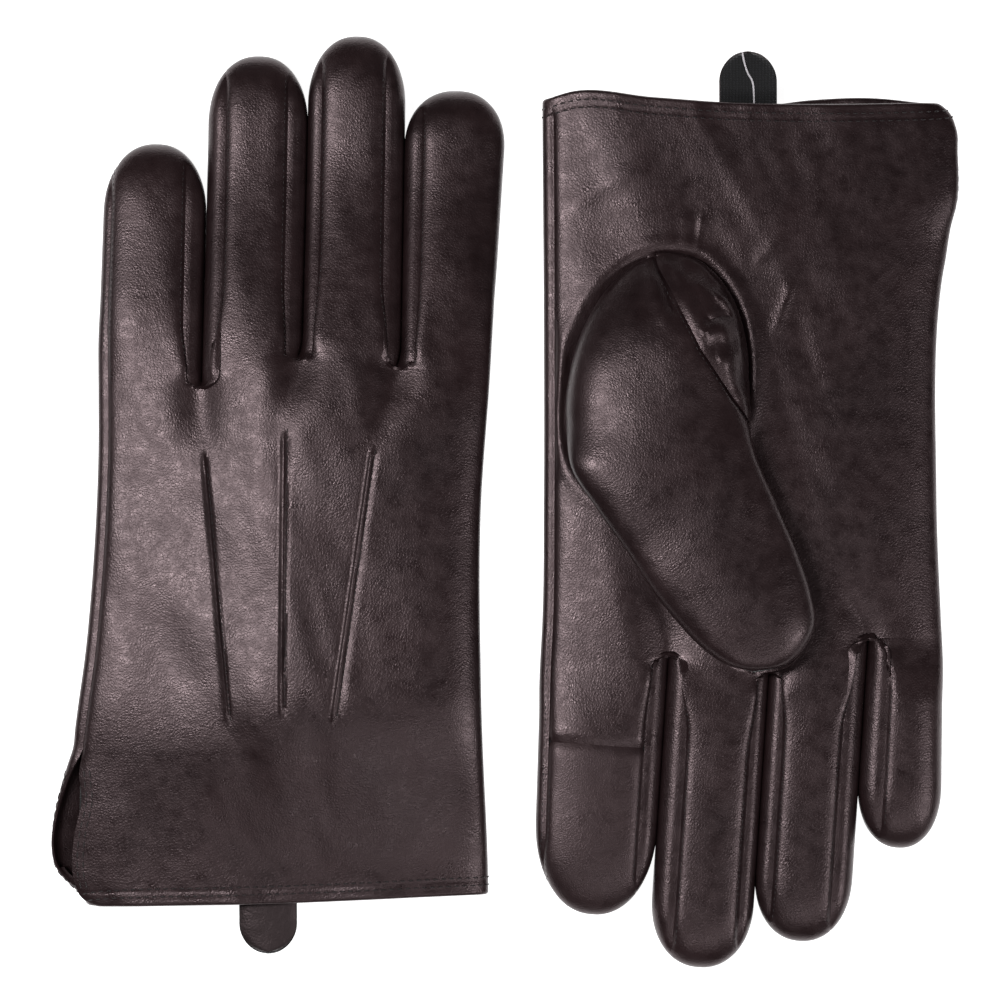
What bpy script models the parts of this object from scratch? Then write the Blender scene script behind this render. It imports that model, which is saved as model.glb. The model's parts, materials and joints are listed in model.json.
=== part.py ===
"""A pair of leather touchscreen gloves lying flat: the left one back up, the right one palm up.

Each glove is drawn in its own frame: u runs across the hand from the little finger to the
thumb, v from the cuff to the fingertips, and w from the palm to the back. Sizes are in metres.
"""

import math

import bmesh
import bpy
from mathutils import Vector

MM = 0.001

# leather, lining and the spaces between pieces
LEATHER = 0.9 * MM
LINING = 0.8 * MM
LINING_INSET = 2.0 * MM
LINING_FROM_SIDES = 1.8 * MM
LINING_START = 1.5 * MM
LINING_END = 141 * MM
SEAM_GAP = 0.40 * MM
HALF_THICK = 7.0 * MM
PALM_CLEAR = 0.8 * MM

# the rounded cross-section of hand and fingers
SECTION_POWER = 2.6
SECTION_FLAT = 1.08

# where a finger's panels end and its side strips begin, as a share of its half width
PANEL_SHARE = 0.68
SEAM_SHARE = 0.08
SIDE_SEAM_HEIGHT = 0.28
SLOT_LENGTH = 4.5 * MM
CROTCH_GAP = 1.3 * MM
FINGER_BLEND = 26 * MM

# the vent at the little finger's side of the cuff
VENT_LOW = 2 * MM
VENT_HIGH = 41 * MM
VENT_DROP = 3.0 * MM

# fingertips
TIP_POWER = 2.15
TIP_CLOSED = 0.06

# the thumb lies folded over the palm
THUMB_THICK = 14.0 * MM
THUMB_THICK_PRESSED = 9.2 * MM
THUMB_LIFT = 10.2 * MM
THUMB_AXIS_U = 51 * MM
THUMB_AXIS_RISE = 2.5 * MM
HOLE_REACH_CUFF = 36 * MM
HOLE_REACH_FINGERS = 26 * MM

# tongue tab in the cuff
TAB_WIDTH = 15.8 * MM
TAB_OUT = 14.0 * MM
TAB_IN = 7.0 * MM
TAB_LAYER = 0.8 * MM

# mesh density
BLOCK_COLUMNS = 3
LINING_COLUMNS = 24
FINGER_LINING_COLUMNS = 12
HAND_ROWS = 8
STUB_ROWS = 3
FINGER_ROWS = 2
TIP_ROWS = 3

BROWN = (0.040, 0.021, 0.020, 1)
LINING_BLACK = (0.012, 0.012, 0.013, 1)
PATCH_BROWN = (0.036, 0.020, 0.020, 1)
TAB_BROWN = (0.050, 0.027, 0.022, 1)

NAMES = ("little", "ring", "middle", "index")


class Finger:
    """One finger: its two sides at the crotches and at the tip, its tip and its bending line."""

    def __init__(self, base_sides, tip_sides, tip, knuckle, tip_round):
        self.base_sides = [s * MM for s in base_sides]
        self.tip_sides = [s * MM for s in tip_sides]
        self.tip = tip * MM
        self.knuckle = knuckle * MM
        self.tip_round = tip_round * MM


class Glove:
    """The driving sizes of one glove."""

    def __init__(self, side, place, flip, lean, fingers, low_edge, high_edge, crotches, vent_flare):
        self.side = side
        self.place = Vector(place) * MM
        self.flip = flip
        self.lean = math.radians(lean)
        self.fingers = fingers
        self.low_edge = low_edge
        self.high_edge = high_edge
        self.crotches = crotches
        self.vent_flare = vent_flare * MM
        self.pressed = not flip

    def world(self, point):
        """A point of the glove's own frame, in the part's frame."""
        if self.flip:
            point = -point
        return point + self.place


LEFT = Glove(
    side="left",
    place=(-59.3, -113.0, 7.0),
    flip=False,
    lean=1.0,
    fingers=[
        Finger((-54.2, -24.9), (-53.4, -25.3), 214.0, 170, 20),
        Finger((-24.1, 3.1), (-24.1, 3.0), 238.8, 182, 20),
        Finger((3.9, 30.7), (3.9, 30.3), 244.4, 186, 20),
        Finger((31.5, 56.2), (31.2, 59.8), 229.0, 181, 17),
    ],
    low_edge=[(0, -62.4), (40, -61.6), (75, -57.2), (120, -54.2), (150, -54.2)],
    high_edge=[(0, 55.6), (60, 53.6), (110, 53.5), (150, 56.2)],
    crotches={"back": [(-24.8, 144.5), (2.5, 152.3), (30.1, 149.8)],
              "palm": [(-24.8, 151.5), (2.5, 159.5), (30.1, 157.0)]},
    vent_flare=7.3,
)
RIGHT = Glove(
    side="right",
    place=(67.3, 112.5, 7.0),
    flip=True,
    lean=3.8,
    fingers=[
        Finger((-57.2, -36.5), (-60.6, -36.5), 210.2, 170, 19),
        Finger((-35.7, -9.2), (-35.7, -9.2), 236.5, 182, 19),
        Finger((-8.4, 19.4), (-8.4, 19.4), 243.9, 186, 19),
        Finger((20.2, 56.0), (20.2, 53.3), 229.0, 181, 26),
    ],
    low_edge=[(0, -61.0), (30, -60.6), (50, -57.0), (110, -55.4), (150, -57.2)],
    high_edge=[(0, 55.8), (60, 55.4), (110, 55.4), (150, 56.0)],
    crotches={"back": [(-35.9, 143.0), (-7.9, 152.5), (20.4, 148.0)],
              "palm": [(-35.9, 150.9), (-7.7, 160.5), (20.4, 155.7)]},
    vent_flare=0.8,
)
THUMB_HOLE = Vector((24.0, 80.0, 0)) * MM
FINGER_REFERENCE = 150 * MM

# the folded thumb's two side lines, from its hole to near its tip, and the tip itself
THUMB_INDEX_SIDE = [(49.4, 86), (47.5, 104), (33.0, 126), (20.0, 144)]
THUMB_PALM_SIDE = [(-1.4, 78), (-5.0, 104), (-14.5, 126), (-20.0, 146)]
THUMB_TIP = (-3.0, 160.0)
THUMB_ROWS = [0.0, 0.1, 0.2, 0.32, 0.52, 0.72, 0.82, 0.91, 0.97, 0.996]


# ---------------------------------------------------------------- small helpers


def smooth(x):
    x = min(max(x, 0.0), 1.0)
    return x * x * (3 - 2 * x)


def mix(a, b, t):
    return a * (1 - t) + b * t


def signed_power(x, power):
    return math.copysign(abs(x) ** power, x)


def across(angle):
    """How far across a section an angle lies: 1 at the index side, -1 at the little side."""
    return signed_power(math.cos(angle), 2 / SECTION_POWER)


def height(angle):
    """How high on a section an angle lies: 1 on the back, -1 on the palm, flat in the middle."""
    s = signed_power(math.sin(angle), 2 / SECTION_POWER) * SECTION_FLAT
    return min(max(s, -1.0), 1.0)


def angle_across(share, palm):
    """The section angle at a share of the half width, on the back or on the palm."""
    share = min(max(share, -1.0), 1.0)
    angle = math.acos(signed_power(share, SECTION_POWER / 2))
    return -angle if palm else angle


def follow(points, v):
    """A line given by (v, u) points in mm, read at v with rounded corners left plain."""
    v = v / MM
    for (v0, u0), (v1, u1) in zip(points, points[1:]):
        if v <= v1 or (v1, u1) == points[-1]:
            t = min(max((v - v0) / (v1 - v0), 0.0), 1.0)
            return mix(u0, u1, t) * MM
    return points[-1][1] * MM


def cap(s, start):
    """Share of the full width that is left at s of the length, when rounding starts at start."""
    if s <= start:
        return 1.0
    t = (s - start) / (1 - start)
    return max(1 - t**TIP_POWER, 0.0) ** (1 / TIP_POWER)


def rows_to_tip(start):
    """Shares of the length, evenly up to start and then round the tip."""
    rows = [start * k / FINGER_ROWS for k in range(FINGER_ROWS + 1)]
    last = math.acos(TIP_CLOSED ** (TIP_POWER / 2))
    for k in range(1, TIP_ROWS + 1):
        turned = math.sin(last * k / TIP_ROWS) ** (2 / TIP_POWER)
        rows.append(start + (1 - start) * turned)
    return rows


# ---------------------------------------------------------------- building closed pieces


def paint(name, colour, roughness):
    material = bpy.data.materials.get(name) or bpy.data.materials.new(name)
    material.use_nodes = True
    shader = material.node_tree.nodes["Principled BSDF"]
    shader.inputs["Base Color"].default_value = colour
    shader.inputs["Roughness"].default_value = roughness
    shader.inputs["Metallic"].default_value = 0.0
    return material


def leather():
    return paint("dark_brown_leather", BROWN, 0.42)


def patch_leather():
    return paint("touch_patch_leather", PATCH_BROWN, 0.48)


def tab_leather():
    return paint("tab_leather", TAB_BROWN, 0.6)


def lining_cloth():
    return paint("black_lining", LINING_BLACK, 0.9)


def key(point):
    return tuple(round(c * 1e7) for c in point)


def layered_piece(glove, name, patches, material, hinge=None):
    """A piece of even thickness: its outer skin from the patches, extruded to its inner skin.

    A patch is a list of rows, and a row is a list of (outer, inner) points.
    """
    bm = bmesh.new()
    corners, inner = {}, {}
    for patch in patches:
        grid = []
        for row in patch:
            for outer, inside in row:
                outer = glove.world(outer)
                if key(outer) not in corners:
                    corners[key(outer)] = bm.verts.new(outer)
                    inner[corners[key(outer)]] = glove.world(inside)
            grid.append([corners[key(glove.world(outer))] for outer, inside in row])
        for below, above in zip(grid, grid[1:]):
            for k in range(len(below) - 1):
                quad = [below[k], below[k + 1], above[k + 1], above[k]]
                ring = list(dict.fromkeys(quad))
                if len(ring) > 2:
                    bm.faces.new(ring)
    skin = bm.faces[:]
    places = {key(v.co): inner[v] for v in bm.verts}
    made = bmesh.ops.extrude_face_region(bm, geom=skin, use_keep_orig=True)["geom"]
    for v in [g for g in made if isinstance(g, bmesh.types.BMVert)]:
        v.co = places[key(v.co)]
    bmesh.ops.triangulate(bm, faces=bm.faces[:])
    bmesh.ops.recalc_face_normals(bm, faces=bm.faces[:])
    return finish(f"{glove.side}_{name}", bm, material, hinge)


def finish(name, bm, material, hinge=None):
    mesh = bpy.data.meshes.new(name)
    bm.to_mesh(mesh)
    bm.free()
    mesh.shade_smooth()
    mesh.set_sharp_from_angle(angle=math.radians(50))
    mesh.materials.append(material)
    piece = bpy.data.objects.new(name, mesh)
    bpy.context.scene.collection.objects.link(piece)
    if hinge is not None:
        piece.parent = hinge
        piece.matrix_parent_inverse = hinge.matrix_world.inverted()
    return piece


def joint_empty(glove, name, point):
    """An empty on a joint's axis, which carries the pieces that turn about it."""
    empty = bpy.data.objects.new(f"{glove.side}_{name}_axis", None)
    empty.empty_display_size = 0.02
    empty.location = glove.world(point)
    bpy.context.scene.collection.objects.link(empty)
    bpy.context.view_layer.update()
    return empty


# ---------------------------------------------------------------- the glove's surfaces


def lift(glove, u, v):
    """How far the left glove is held up by its own thumb underneath."""
    if not glove.pressed:
        return 0.0
    along = smooth(v / (60 * MM)) * (1 - smooth((v - 135 * MM) / (80 * MM)))
    to_little = smooth((-18 * MM - u) / (45 * MM))
    to_index = smooth((u - 46 * MM) / (30 * MM))
    return THUMB_LIFT * along * (1 - 0.5 * to_little) * (1 - 0.25 * to_index)


def hand_point(glove, angle, v, inset, from_sides=0.0):
    low = follow(glove.low_edge, v)
    high = follow(glove.high_edge, v)
    centre = (low + high) / 2
    u = centre + ((high - low) / 2 - inset - from_sides) * across(angle)
    w = (HALF_THICK - inset) * height(angle)
    return Vector((u, v, w + lift(glove, u, v)))


def finger_axis(glove, number, share):
    """Centre across and half width of a finger, share of the way from its base to its tip."""
    finger = glove.fingers[number]
    low = mix(finger.base_sides[0], finger.tip_sides[0], share)
    high = mix(finger.base_sides[1], finger.tip_sides[1], share)
    return (low + high) / 2, (high - low) / 2


def finger_point(glove, number, angle, along, inset):
    """A point on a finger: along is its distance past the bending line, less than 0 before it."""
    finger = glove.fingers[number]
    lean = glove.lean
    length = (finger.tip - finger.knuckle) / math.cos(lean)
    share = (finger.knuckle + along - FINGER_REFERENCE) / (finger.tip - FINGER_REFERENCE)
    centre, half = finger_axis(glove, number, min(max(share, 0.0), 1.0))
    narrowed = 1.0
    if along > 0:
        narrowed = cap(along / length, 1 - finger.tip_round / length)
        along = along * (1 - inset / length)
    x = (half - inset) * narrowed * across(angle)
    w = (HALF_THICK - inset) * narrowed * height(angle)
    v = finger.knuckle + along * math.cos(lean) - x * math.sin(lean)
    axis_u = centre + (finger.knuckle + along * math.cos(lean) - FINGER_REFERENCE) * math.tan(lean)
    u = axis_u + x * math.cos(lean)
    rise = lift(glove, centre, v)
    if glove.pressed:
        w -= (HALF_THICK * (1 - narrowed)) * 0.35
    return Vector((u, v, w + rise))


def knuckle_u(glove, number):
    """Where a finger's centre line crosses its bending line."""
    finger = glove.fingers[number]
    share = (finger.knuckle - FINGER_REFERENCE) / (finger.tip - FINGER_REFERENCE)
    centre, half = finger_axis(glove, number, share)
    return centre + (finger.knuckle - FINGER_REFERENCE) * math.tan(glove.lean), half


def guide(glove, number, palm, v):
    """u of the line that runs from the cuff to a crotch, or of the hand's outer edges."""
    if number == 0:
        return follow(glove.low_edge, v)
    if number == 4:
        return follow(glove.high_edge, v)
    crotch_u, crotch_v = glove.crotches["palm" if palm else "back"][number - 1]
    low = follow(glove.low_edge, v)
    high = follow(glove.high_edge, v)
    share = (number - 2) * 0.30
    at_cuff = (low + high) / 2 + share * (high - low) / 2
    return mix(at_cuff, crotch_u * MM, smooth(v / (crotch_v * MM)))


def outer_seam_angle(palm, index_side):
    """The side seams lie towards the back at the little finger and towards the palm at the index."""
    seam = math.asin(SIDE_SEAM_HEIGHT ** (SECTION_POWER / 2))
    gap = 0.035 if palm else -0.035
    if index_side:
        return (-seam - gap)
    angle = math.pi - seam + gap
    return angle - 2 * math.pi if palm else angle


def block_angles(glove, number, palm, v):
    """The hand section's angles at the two guides of one finger's block."""
    low = follow(glove.low_edge, v)
    high = follow(glove.high_edge, v)
    ends = []
    for line in (number, number + 1):
        if line in (0, 4):
            ends.append(outer_seam_angle(palm, line == 4))
        else:
            share = (guide(glove, line, palm, v) - (low + high) / 2) / ((high - low) / 2)
            ends.append(angle_across(share, palm))
    return ends


def finger_angles(number, palm, side_gap=0.0):
    """The finger section's angles at a panel's two long edges."""
    share = PANEL_SHARE - side_gap
    low = angle_across(-share, palm)
    high = angle_across(share, palm)
    if number == 0:
        low = outer_seam_angle(palm, False)
    if number == 3:
        high = outer_seam_angle(palm, True)
    return low, high


def crotch_line(glove, number, palm, c):
    """v of the line between a finger's two crotches."""
    points = glove.crotches["palm" if palm else "back"]
    first = points[max(number - 1, 0)][1]
    last = points[min(number, 2)][1]
    return mix(first, last, c) * MM


def slot_share(past_crotch):
    """How far a slot has opened, at a distance past its crotch."""
    if past_crotch <= 0:
        return 0.0
    left = 1 - min(past_crotch / SLOT_LENGTH, 1.0)
    return math.sqrt(1 - left * left)


def vent_spread(v):
    """How far the palm panel's free edge spreads sideways along the vent."""
    place = (v - VENT_LOW) / (VENT_HIGH - VENT_LOW)
    return math.sin(math.pi * place) ** 0.8 if 0 < place < 1 else 0.0


def panel_point(glove, number, palm, c, v, inset):
    """A point on the back or palm panel of one finger's block, between the cuff and its bending line."""
    past = v - crotch_line(glove, number, palm, c)
    hand_ends = block_angles(glove, number, palm, min(v, v - past))
    on_hand = hand_point(glove, mix(*hand_ends, c), v, inset)
    low, high = finger_angles(number, palm)
    angle = mix(low, high, c)
    finger = glove.fingers[number]
    x_guess = knuckle_u(glove, number)[1] * across(angle)
    along = (v - finger.knuckle + x_guess * math.sin(glove.lean)) / math.cos(glove.lean)
    on_finger = finger_point(glove, number, angle, min(along, 0.0), inset)
    open_middle = smooth((past + FINGER_BLEND) / (FINGER_BLEND + 8 * MM))
    inner_edge = abs(2 * c - 1) ** 3
    if (number == 0 and c < 0.5) or (number == 3 and c > 0.5):
        inner_edge = 0.0
    opened = mix(open_middle, slot_share(past), inner_edge)
    point = on_hand.lerp(on_finger, opened)
    point.y = v
    if number == 0 and palm:
        spread = vent_spread(v) * (1 - c) ** 2
        point.x -= glove.vent_flare * spread
        point.z -= VENT_DROP * spread
    return point


def panel_patch(glove, number, palm):
    """One finger's block of a hand panel: from the cuff, past the crotches, to the bending line."""
    finger = glove.fingers[number]
    centre_u, half = knuckle_u(glove, number)
    rows = []
    for r in range(HAND_ROWS + STUB_ROWS + 1):
        row = []
        for k in range(BLOCK_COLUMNS + 1):
            c = k / BLOCK_COLUMNS
            start = crotch_line(glove, number, palm, c)
            low, high = finger_angles(number, palm)
            x = half * across(mix(low, high, c))
            end = finger.knuckle - x * math.sin(glove.lean) - SEAM_GAP / 2
            if r <= HAND_ROWS:
                v = start * r / HAND_ROWS
            elif r == HAND_ROWS + 1:
                v = start + SLOT_LENGTH * 0.3
            else:
                v = mix(start + SLOT_LENGTH, end, (r - HAND_ROWS - 2) / (STUB_ROWS - 2))
            row.append((panel_point(glove, number, palm, c, v, 0.0),
                        panel_point(glove, number, palm, c, v, LEATHER)))
        rows.append(row)
    return rows


# ---------------------------------------------------------------- hand pieces


def back_panel(glove):
    patches = [panel_patch(glove, number, False) for number in range(4)]
    layered_piece(glove, "back_panel", patches, leather())


def thumb_hole_cutter(glove):
    """An upright oval post that leaves the thumb hole in the palm."""
    bm = bmesh.new()
    bmesh.ops.create_cone(
        bm, cap_ends=True, segments=20, radius1=1.0, radius2=1.0, depth=2.0
    )
    clear = 2.0 * MM
    size = Vector((25.4 * MM - clear, (HOLE_REACH_CUFF + HOLE_REACH_FINGERS) / 2 - clear, 1))
    middle = THUMB_HOLE + Vector((0, (HOLE_REACH_FINGERS - HOLE_REACH_CUFF) / 2, 0))
    for v in bm.verts:
        flat = Vector((v.co.x * size.x, v.co.y * size.y, v.co.z * 12 * MM - 9 * MM))
        if glove.pressed:
            flat.z += THUMB_LIFT / 2
        v.co = glove.world(middle + flat)
    bmesh.ops.recalc_face_normals(bm, faces=bm.faces[:])
    cutter = finish(f"{glove.side}_thumb_hole_cutter", bm, leather())
    cutter.hide_render = True
    cutter.display_type = "WIRE"
    return cutter


def open_for_thumb(piece, cutter):
    cut = piece.modifiers.new("thumb_hole", "BOOLEAN")
    cut.operation = "DIFFERENCE"
    cut.solver = "EXACT"
    cut.object = cutter


def palm_panel(glove, cutter):
    patches = [panel_patch(glove, number, True) for number in range(4)]
    panel = layered_piece(glove, "palm_panel", patches, leather())
    open_for_thumb(panel, cutter)


def fork_wall(glove, number, high_side, tau, v, inset):
    """A point on the side wall of a finger before its bending line, tau from back to palm seam."""
    edge = PANEL_SHARE + SEAM_SHARE
    sign = 1 if high_side else -1
    start = angle_across(sign * edge, False)
    end = angle_across(sign * edge, True)
    if not high_side:
        end += 2 * math.pi
    angle = mix(start, end, tau)
    finger = glove.fingers[number]
    x = knuckle_u(glove, number)[1] * across(angle)
    along = (v - finger.knuckle + x * math.sin(glove.lean)) / math.cos(glove.lean)
    return finger_point(glove, number, angle, min(along, 0.0), inset)


def fork(glove, gap):
    """The two side strips between neighbouring fingers, joined in a U at the crotch."""
    back_u, back_v = glove.crotches["back"][gap]
    palm_u, palm_v = glove.crotches["palm"][gap]
    rows = []
    reach = SLOT_LENGTH
    steps = [("low", 1.0), ("low", 0.45), ("low", 0.0), ("low", -0.7), ("low", -1.0)]
    steps += [("high", -0.7), ("high", 0.0), ("high", 0.45), ("high", 1.0)]
    for side, step in steps:
        row = []
        for k in range(4):
            tau = k / 3
            bottom = Vector((mix(back_u, palm_u, tau) * MM, mix(back_v, palm_v, tau) * MM, 0))
            bottom.y += CROTCH_GAP
            number = gap if side == "low" else gap + 1
            finger = glove.fingers[number]
            pair = []
            for inset in (0.0, LEATHER):
                wall_v = bottom.y + reach * (1 + step) if step <= 0 else mix(
                    bottom.y + reach, finger.knuckle, step
                )
                if step == 1.0:
                    probe = fork_wall(glove, number, side == "low", tau, finger.knuckle, 0)
                    x = (probe.x - knuckle_u(glove, number)[0]) * math.sin(glove.lean)
                    wall_v = finger.knuckle - x - SEAM_GAP / 2
                wall = fork_wall(glove, number, side == "low", tau, max(wall_v, bottom.y), inset)
                opened = slot_share((wall_v - bottom.y) + 0.0)
                floor = Vector((bottom.x, bottom.y - inset, wall.z))
                other = fork_wall(glove, 2 * gap + 1 - number, side != "low", tau, bottom.y, inset)
                floor.z = (wall.z + other.z) / 2
                point = floor.lerp(wall, opened)
                point.y = mix(bottom.y - inset, wall_v, 1 if step > 0 else (1 + step))
                pair.append(point)
            row.append(tuple(pair))
        rows.append(row)
    names = f"fork_{NAMES[gap]}_{NAMES[gap + 1]}"
    layered_piece(glove, names, [rows], leather())


def lining_ring(glove, v, inset, columns):
    ring = []
    for k in range(columns + 1):
        angle = 2 * math.pi * (k % columns) / columns
        ring.append(hand_point(glove, angle, v, inset, LINING_FROM_SIDES))
    return ring


def hand_lining(glove, cutter):
    """A sleeve inside the hand, from just behind the hem to the crotches."""
    rows = []
    for r in range(HAND_ROWS + 1):
        v = mix(LINING_START, LINING_END, r / HAND_ROWS)
        outer = lining_ring(glove, v, LINING_INSET, LINING_COLUMNS)
        inner = lining_ring(glove, v, LINING_INSET + LINING, LINING_COLUMNS)
        rows.append(list(zip(outer, inner)))
    lining = layered_piece(glove, "hand_lining", [rows], lining_cloth())
    open_for_thumb(lining, cutter)


# ---------------------------------------------------------------- fingers


def finger_strip(glove, number, piece, first, last, columns, inset, thick, material, hinge):
    """A lengthwise strip of a finger between two section angles, from the bending line to the tip."""
    finger = glove.fingers[number]
    length = (finger.tip - finger.knuckle) / math.cos(glove.lean)
    rows = []
    for share in rows_to_tip(1 - finger.tip_round / length):
        row = []
        for k in range(columns + 1):
            angle = mix(first, last, k / columns)
            if abs(last - first - 2 * math.pi) < 1e-6 and k == columns:
                angle = first
            outer = finger_point(glove, number, angle, share * length, inset)
            inner = finger_point(glove, number, angle, share * length, inset + thick)
            if share == 0:
                outer.y += SEAM_GAP / 2
                inner.y += SEAM_GAP / 2
            row.append((outer, inner))
        rows.append(row)
    layered_piece(glove, f"{NAMES[number]}_{piece}", [rows], material, hinge)


def finger_pieces(glove, number):
    u, half = knuckle_u(glove, number)
    lowest = -HALF_THICK - SEAM_GAP + lift(glove, finger_axis(glove, number, 0.4)[0],
                                           glove.fingers[number].knuckle)
    hinge = joint_empty(glove, NAMES[number], Vector((u, glove.fingers[number].knuckle, lowest)))
    back_low, back_high = finger_angles(number, False)
    palm_low, palm_high = finger_angles(number, True)
    finger_strip(glove, number, "back", back_low, back_high, 3, 0.0, LEATHER, leather(), hinge)
    if number == 3:
        finger_strip(glove, number, "touch_patch", palm_low, palm_high, 3, 0.0, LEATHER,
                     patch_leather(), hinge)
    else:
        finger_strip(glove, number, "palm", palm_low, palm_high, 3, 0.0, LEATHER, leather(), hinge)
    edge = PANEL_SHARE + SEAM_SHARE
    if number > 0:
        start = angle_across(-edge, False)
        end = angle_across(-edge, True) + 2 * math.pi
        finger_strip(glove, number, f"side_to_{NAMES[number - 1]}", start, end, 3, 0.0, LEATHER,
                     leather(), hinge)
    if number < 3:
        start = angle_across(edge, False)
        end = angle_across(edge, True)
        finger_strip(glove, number, f"side_to_{NAMES[number + 1]}", start, end, 3, 0.0, LEATHER,
                     leather(), hinge)
    finger_strip(glove, number, "lining", 0.0, 2 * math.pi, FINGER_LINING_COLUMNS, LINING_INSET, LINING,
                 lining_cloth(), hinge)


# ---------------------------------------------------------------- thumb


def along_line(points, t):
    """A side line of the thumb, read at t from 0 to 1."""
    place = t * (len(points) - 1)
    k = min(int(place), len(points) - 2)
    first = Vector((points[k][0], points[k][1], 0))
    second = Vector((points[k + 1][0], points[k + 1][1], 0))
    return first.lerp(second, place - k) * MM


def thumb_point(glove, angle, t, inset):
    """A point on the folded thumb. t is 0 at its hole, and 1 at its tip."""
    turn = 0.30
    start = 0.72
    narrowed = cap(t, start)
    side_t = min(t / start, 1.0)
    index_side = along_line(THUMB_INDEX_SIDE, side_t)
    palm_side = along_line(THUMB_PALM_SIDE, side_t)
    middle = (index_side + palm_side) / 2
    half = (index_side - palm_side) / 2
    tip = Vector((*THUMB_TIP, 0)) * MM
    if t > start:
        end = tip.lerp(middle, inset / (tip - middle).length)
        middle = middle.lerp(end, (t - start) / (1 - start))
    raised = math.sin(math.pi / 2 * min(t / turn, 1.0))
    folded = math.cos(math.pi / 2 * min(t / turn, 1.0))
    s = height(angle)
    flat = middle + half * (1 - inset / half.length) * narrowed * across(angle)
    if s > 0:
        flat.y -= max(HOLE_REACH_CUFF * folded - inset, 0.0) * s
    else:
        flat.y -= max(HOLE_REACH_FINGERS * (1 - min(t / turn, 1.0)) - inset, 0.0) * s
    full = THUMB_THICK_PRESSED if glove.pressed else THUMB_THICK
    thick = full * raised * narrowed
    rise = inset * raised + max(thick - 2 * inset * raised, 0.2 * MM) * (1 + s) / 2
    low = follow(glove.low_edge, flat.y)
    high = follow(glove.high_edge, flat.y)
    share = (flat.x - (low + high) / 2) / ((high - low) / 2)
    palm = -HALF_THICK * height(angle_across(share, False))
    flat.z = palm + lift(glove, flat.x, flat.y) - PALM_CLEAR - rise
    if glove.pressed:
        flat.z = max(flat.z, inset - HALF_THICK)
    return flat


def thumb_strip(glove, name, first, last, columns, inset, thick, material, hinge, from_t=0.0):
    rows = []
    for t in THUMB_ROWS:
        if t < from_t:
            continue
        row = []
        for k in range(columns + 1):
            angle = mix(first, last, k / columns)
            if abs(last - first - 2 * math.pi) < 1e-6 and k == columns:
                angle = first
            row.append((thumb_point(glove, angle, t, inset),
                        thumb_point(glove, angle, t, inset + thick)))
        rows.append(row)
    layered_piece(glove, name, [rows], material, hinge)


def thumb_pieces(glove):
    axis_v = 90 * MM
    axis_w = THUMB_AXIS_RISE - HALF_THICK + lift(glove, THUMB_AXIS_U, axis_v)
    hinge = joint_empty(glove, "thumb", Vector((THUMB_AXIS_U, axis_v, axis_w)))
    seam = math.radians(150)
    gap = 0.03
    thumb_strip(glove, "thumb_outer", math.radians(-25), seam - gap, 8, 0.0, LEATHER,
                leather(), hinge)
    thumb_strip(glove, "thumb_inner", seam + gap, math.radians(335) - gap, 7, 0.0, LEATHER,
                leather(), hinge)
    thumb_strip(glove, "thumb_lining", 0.0, 2 * math.pi, 12, LINING_INSET, LINING,
                lining_cloth(), hinge, from_t=0.15)


# ---------------------------------------------------------------- tab


def tab_layer(glove, name, centre, top, material, hinge):
    """One layer of the tongue tab, with a rounded free end."""
    bm = bmesh.new()
    half = TAB_WIDTH / 2
    corner = 2.2 * MM
    outline = [(centre - half, TAB_IN), (centre - half, corner - TAB_OUT)]
    outline += [(centre - half + corner * 0.3, 0.3 * corner - TAB_OUT)]
    outline += [(centre - half + corner, -TAB_OUT), (centre + half - corner, -TAB_OUT)]
    outline += [(centre + half - corner * 0.3, 0.3 * corner - TAB_OUT)]
    outline += [(centre + half, corner - TAB_OUT), (centre + half, TAB_IN)]
    face = bm.faces.new([bm.verts.new(glove.world(Vector((u, v, top)))) for u, v in outline])
    made = bmesh.ops.extrude_face_region(bm, geom=[face], use_keep_orig=True)["geom"]
    down = glove.world(Vector((0, 0, -TAB_LAYER))) - glove.world(Vector((0, 0, 0)))
    for v in [g for g in made if isinstance(g, bmesh.types.BMVert)]:
        v.co += down
    bmesh.ops.triangulate(bm, faces=bm.faces[:])
    bmesh.ops.recalc_face_normals(bm, faces=bm.faces[:])
    finish(f"{glove.side}_{name}", bm, material, hinge)


def tab_pieces(glove):
    centre = -6.6 * MM if glove.pressed else -2.3 * MM
    top = TAB_LAYER + 0.2 * MM
    hinge = joint_empty(glove, "tab", Vector((centre, TAB_IN, top - TAB_LAYER)))
    tab_layer(glove, "tab_leather", centre, top, tab_leather(), hinge)
    tab_layer(glove, "tab_backing", centre, top - TAB_LAYER - 0.35 * MM, lining_cloth(), hinge)


# ---------------------------------------------------------------- the pair


def build_glove(glove):
    cutter = thumb_hole_cutter(glove)
    back_panel(glove)
    palm_panel(glove, cutter)
    for gap in range(3):
        fork(glove, gap)
    hand_lining(glove, cutter)
    for number in range(4):
        finger_pieces(glove, number)
    thumb_pieces(glove)
    tab_pieces(glove)


for old in list(bpy.data.objects):
    bpy.data.objects.remove(old)
build_glove(LEFT)
build_glove(RIGHT)
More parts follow.
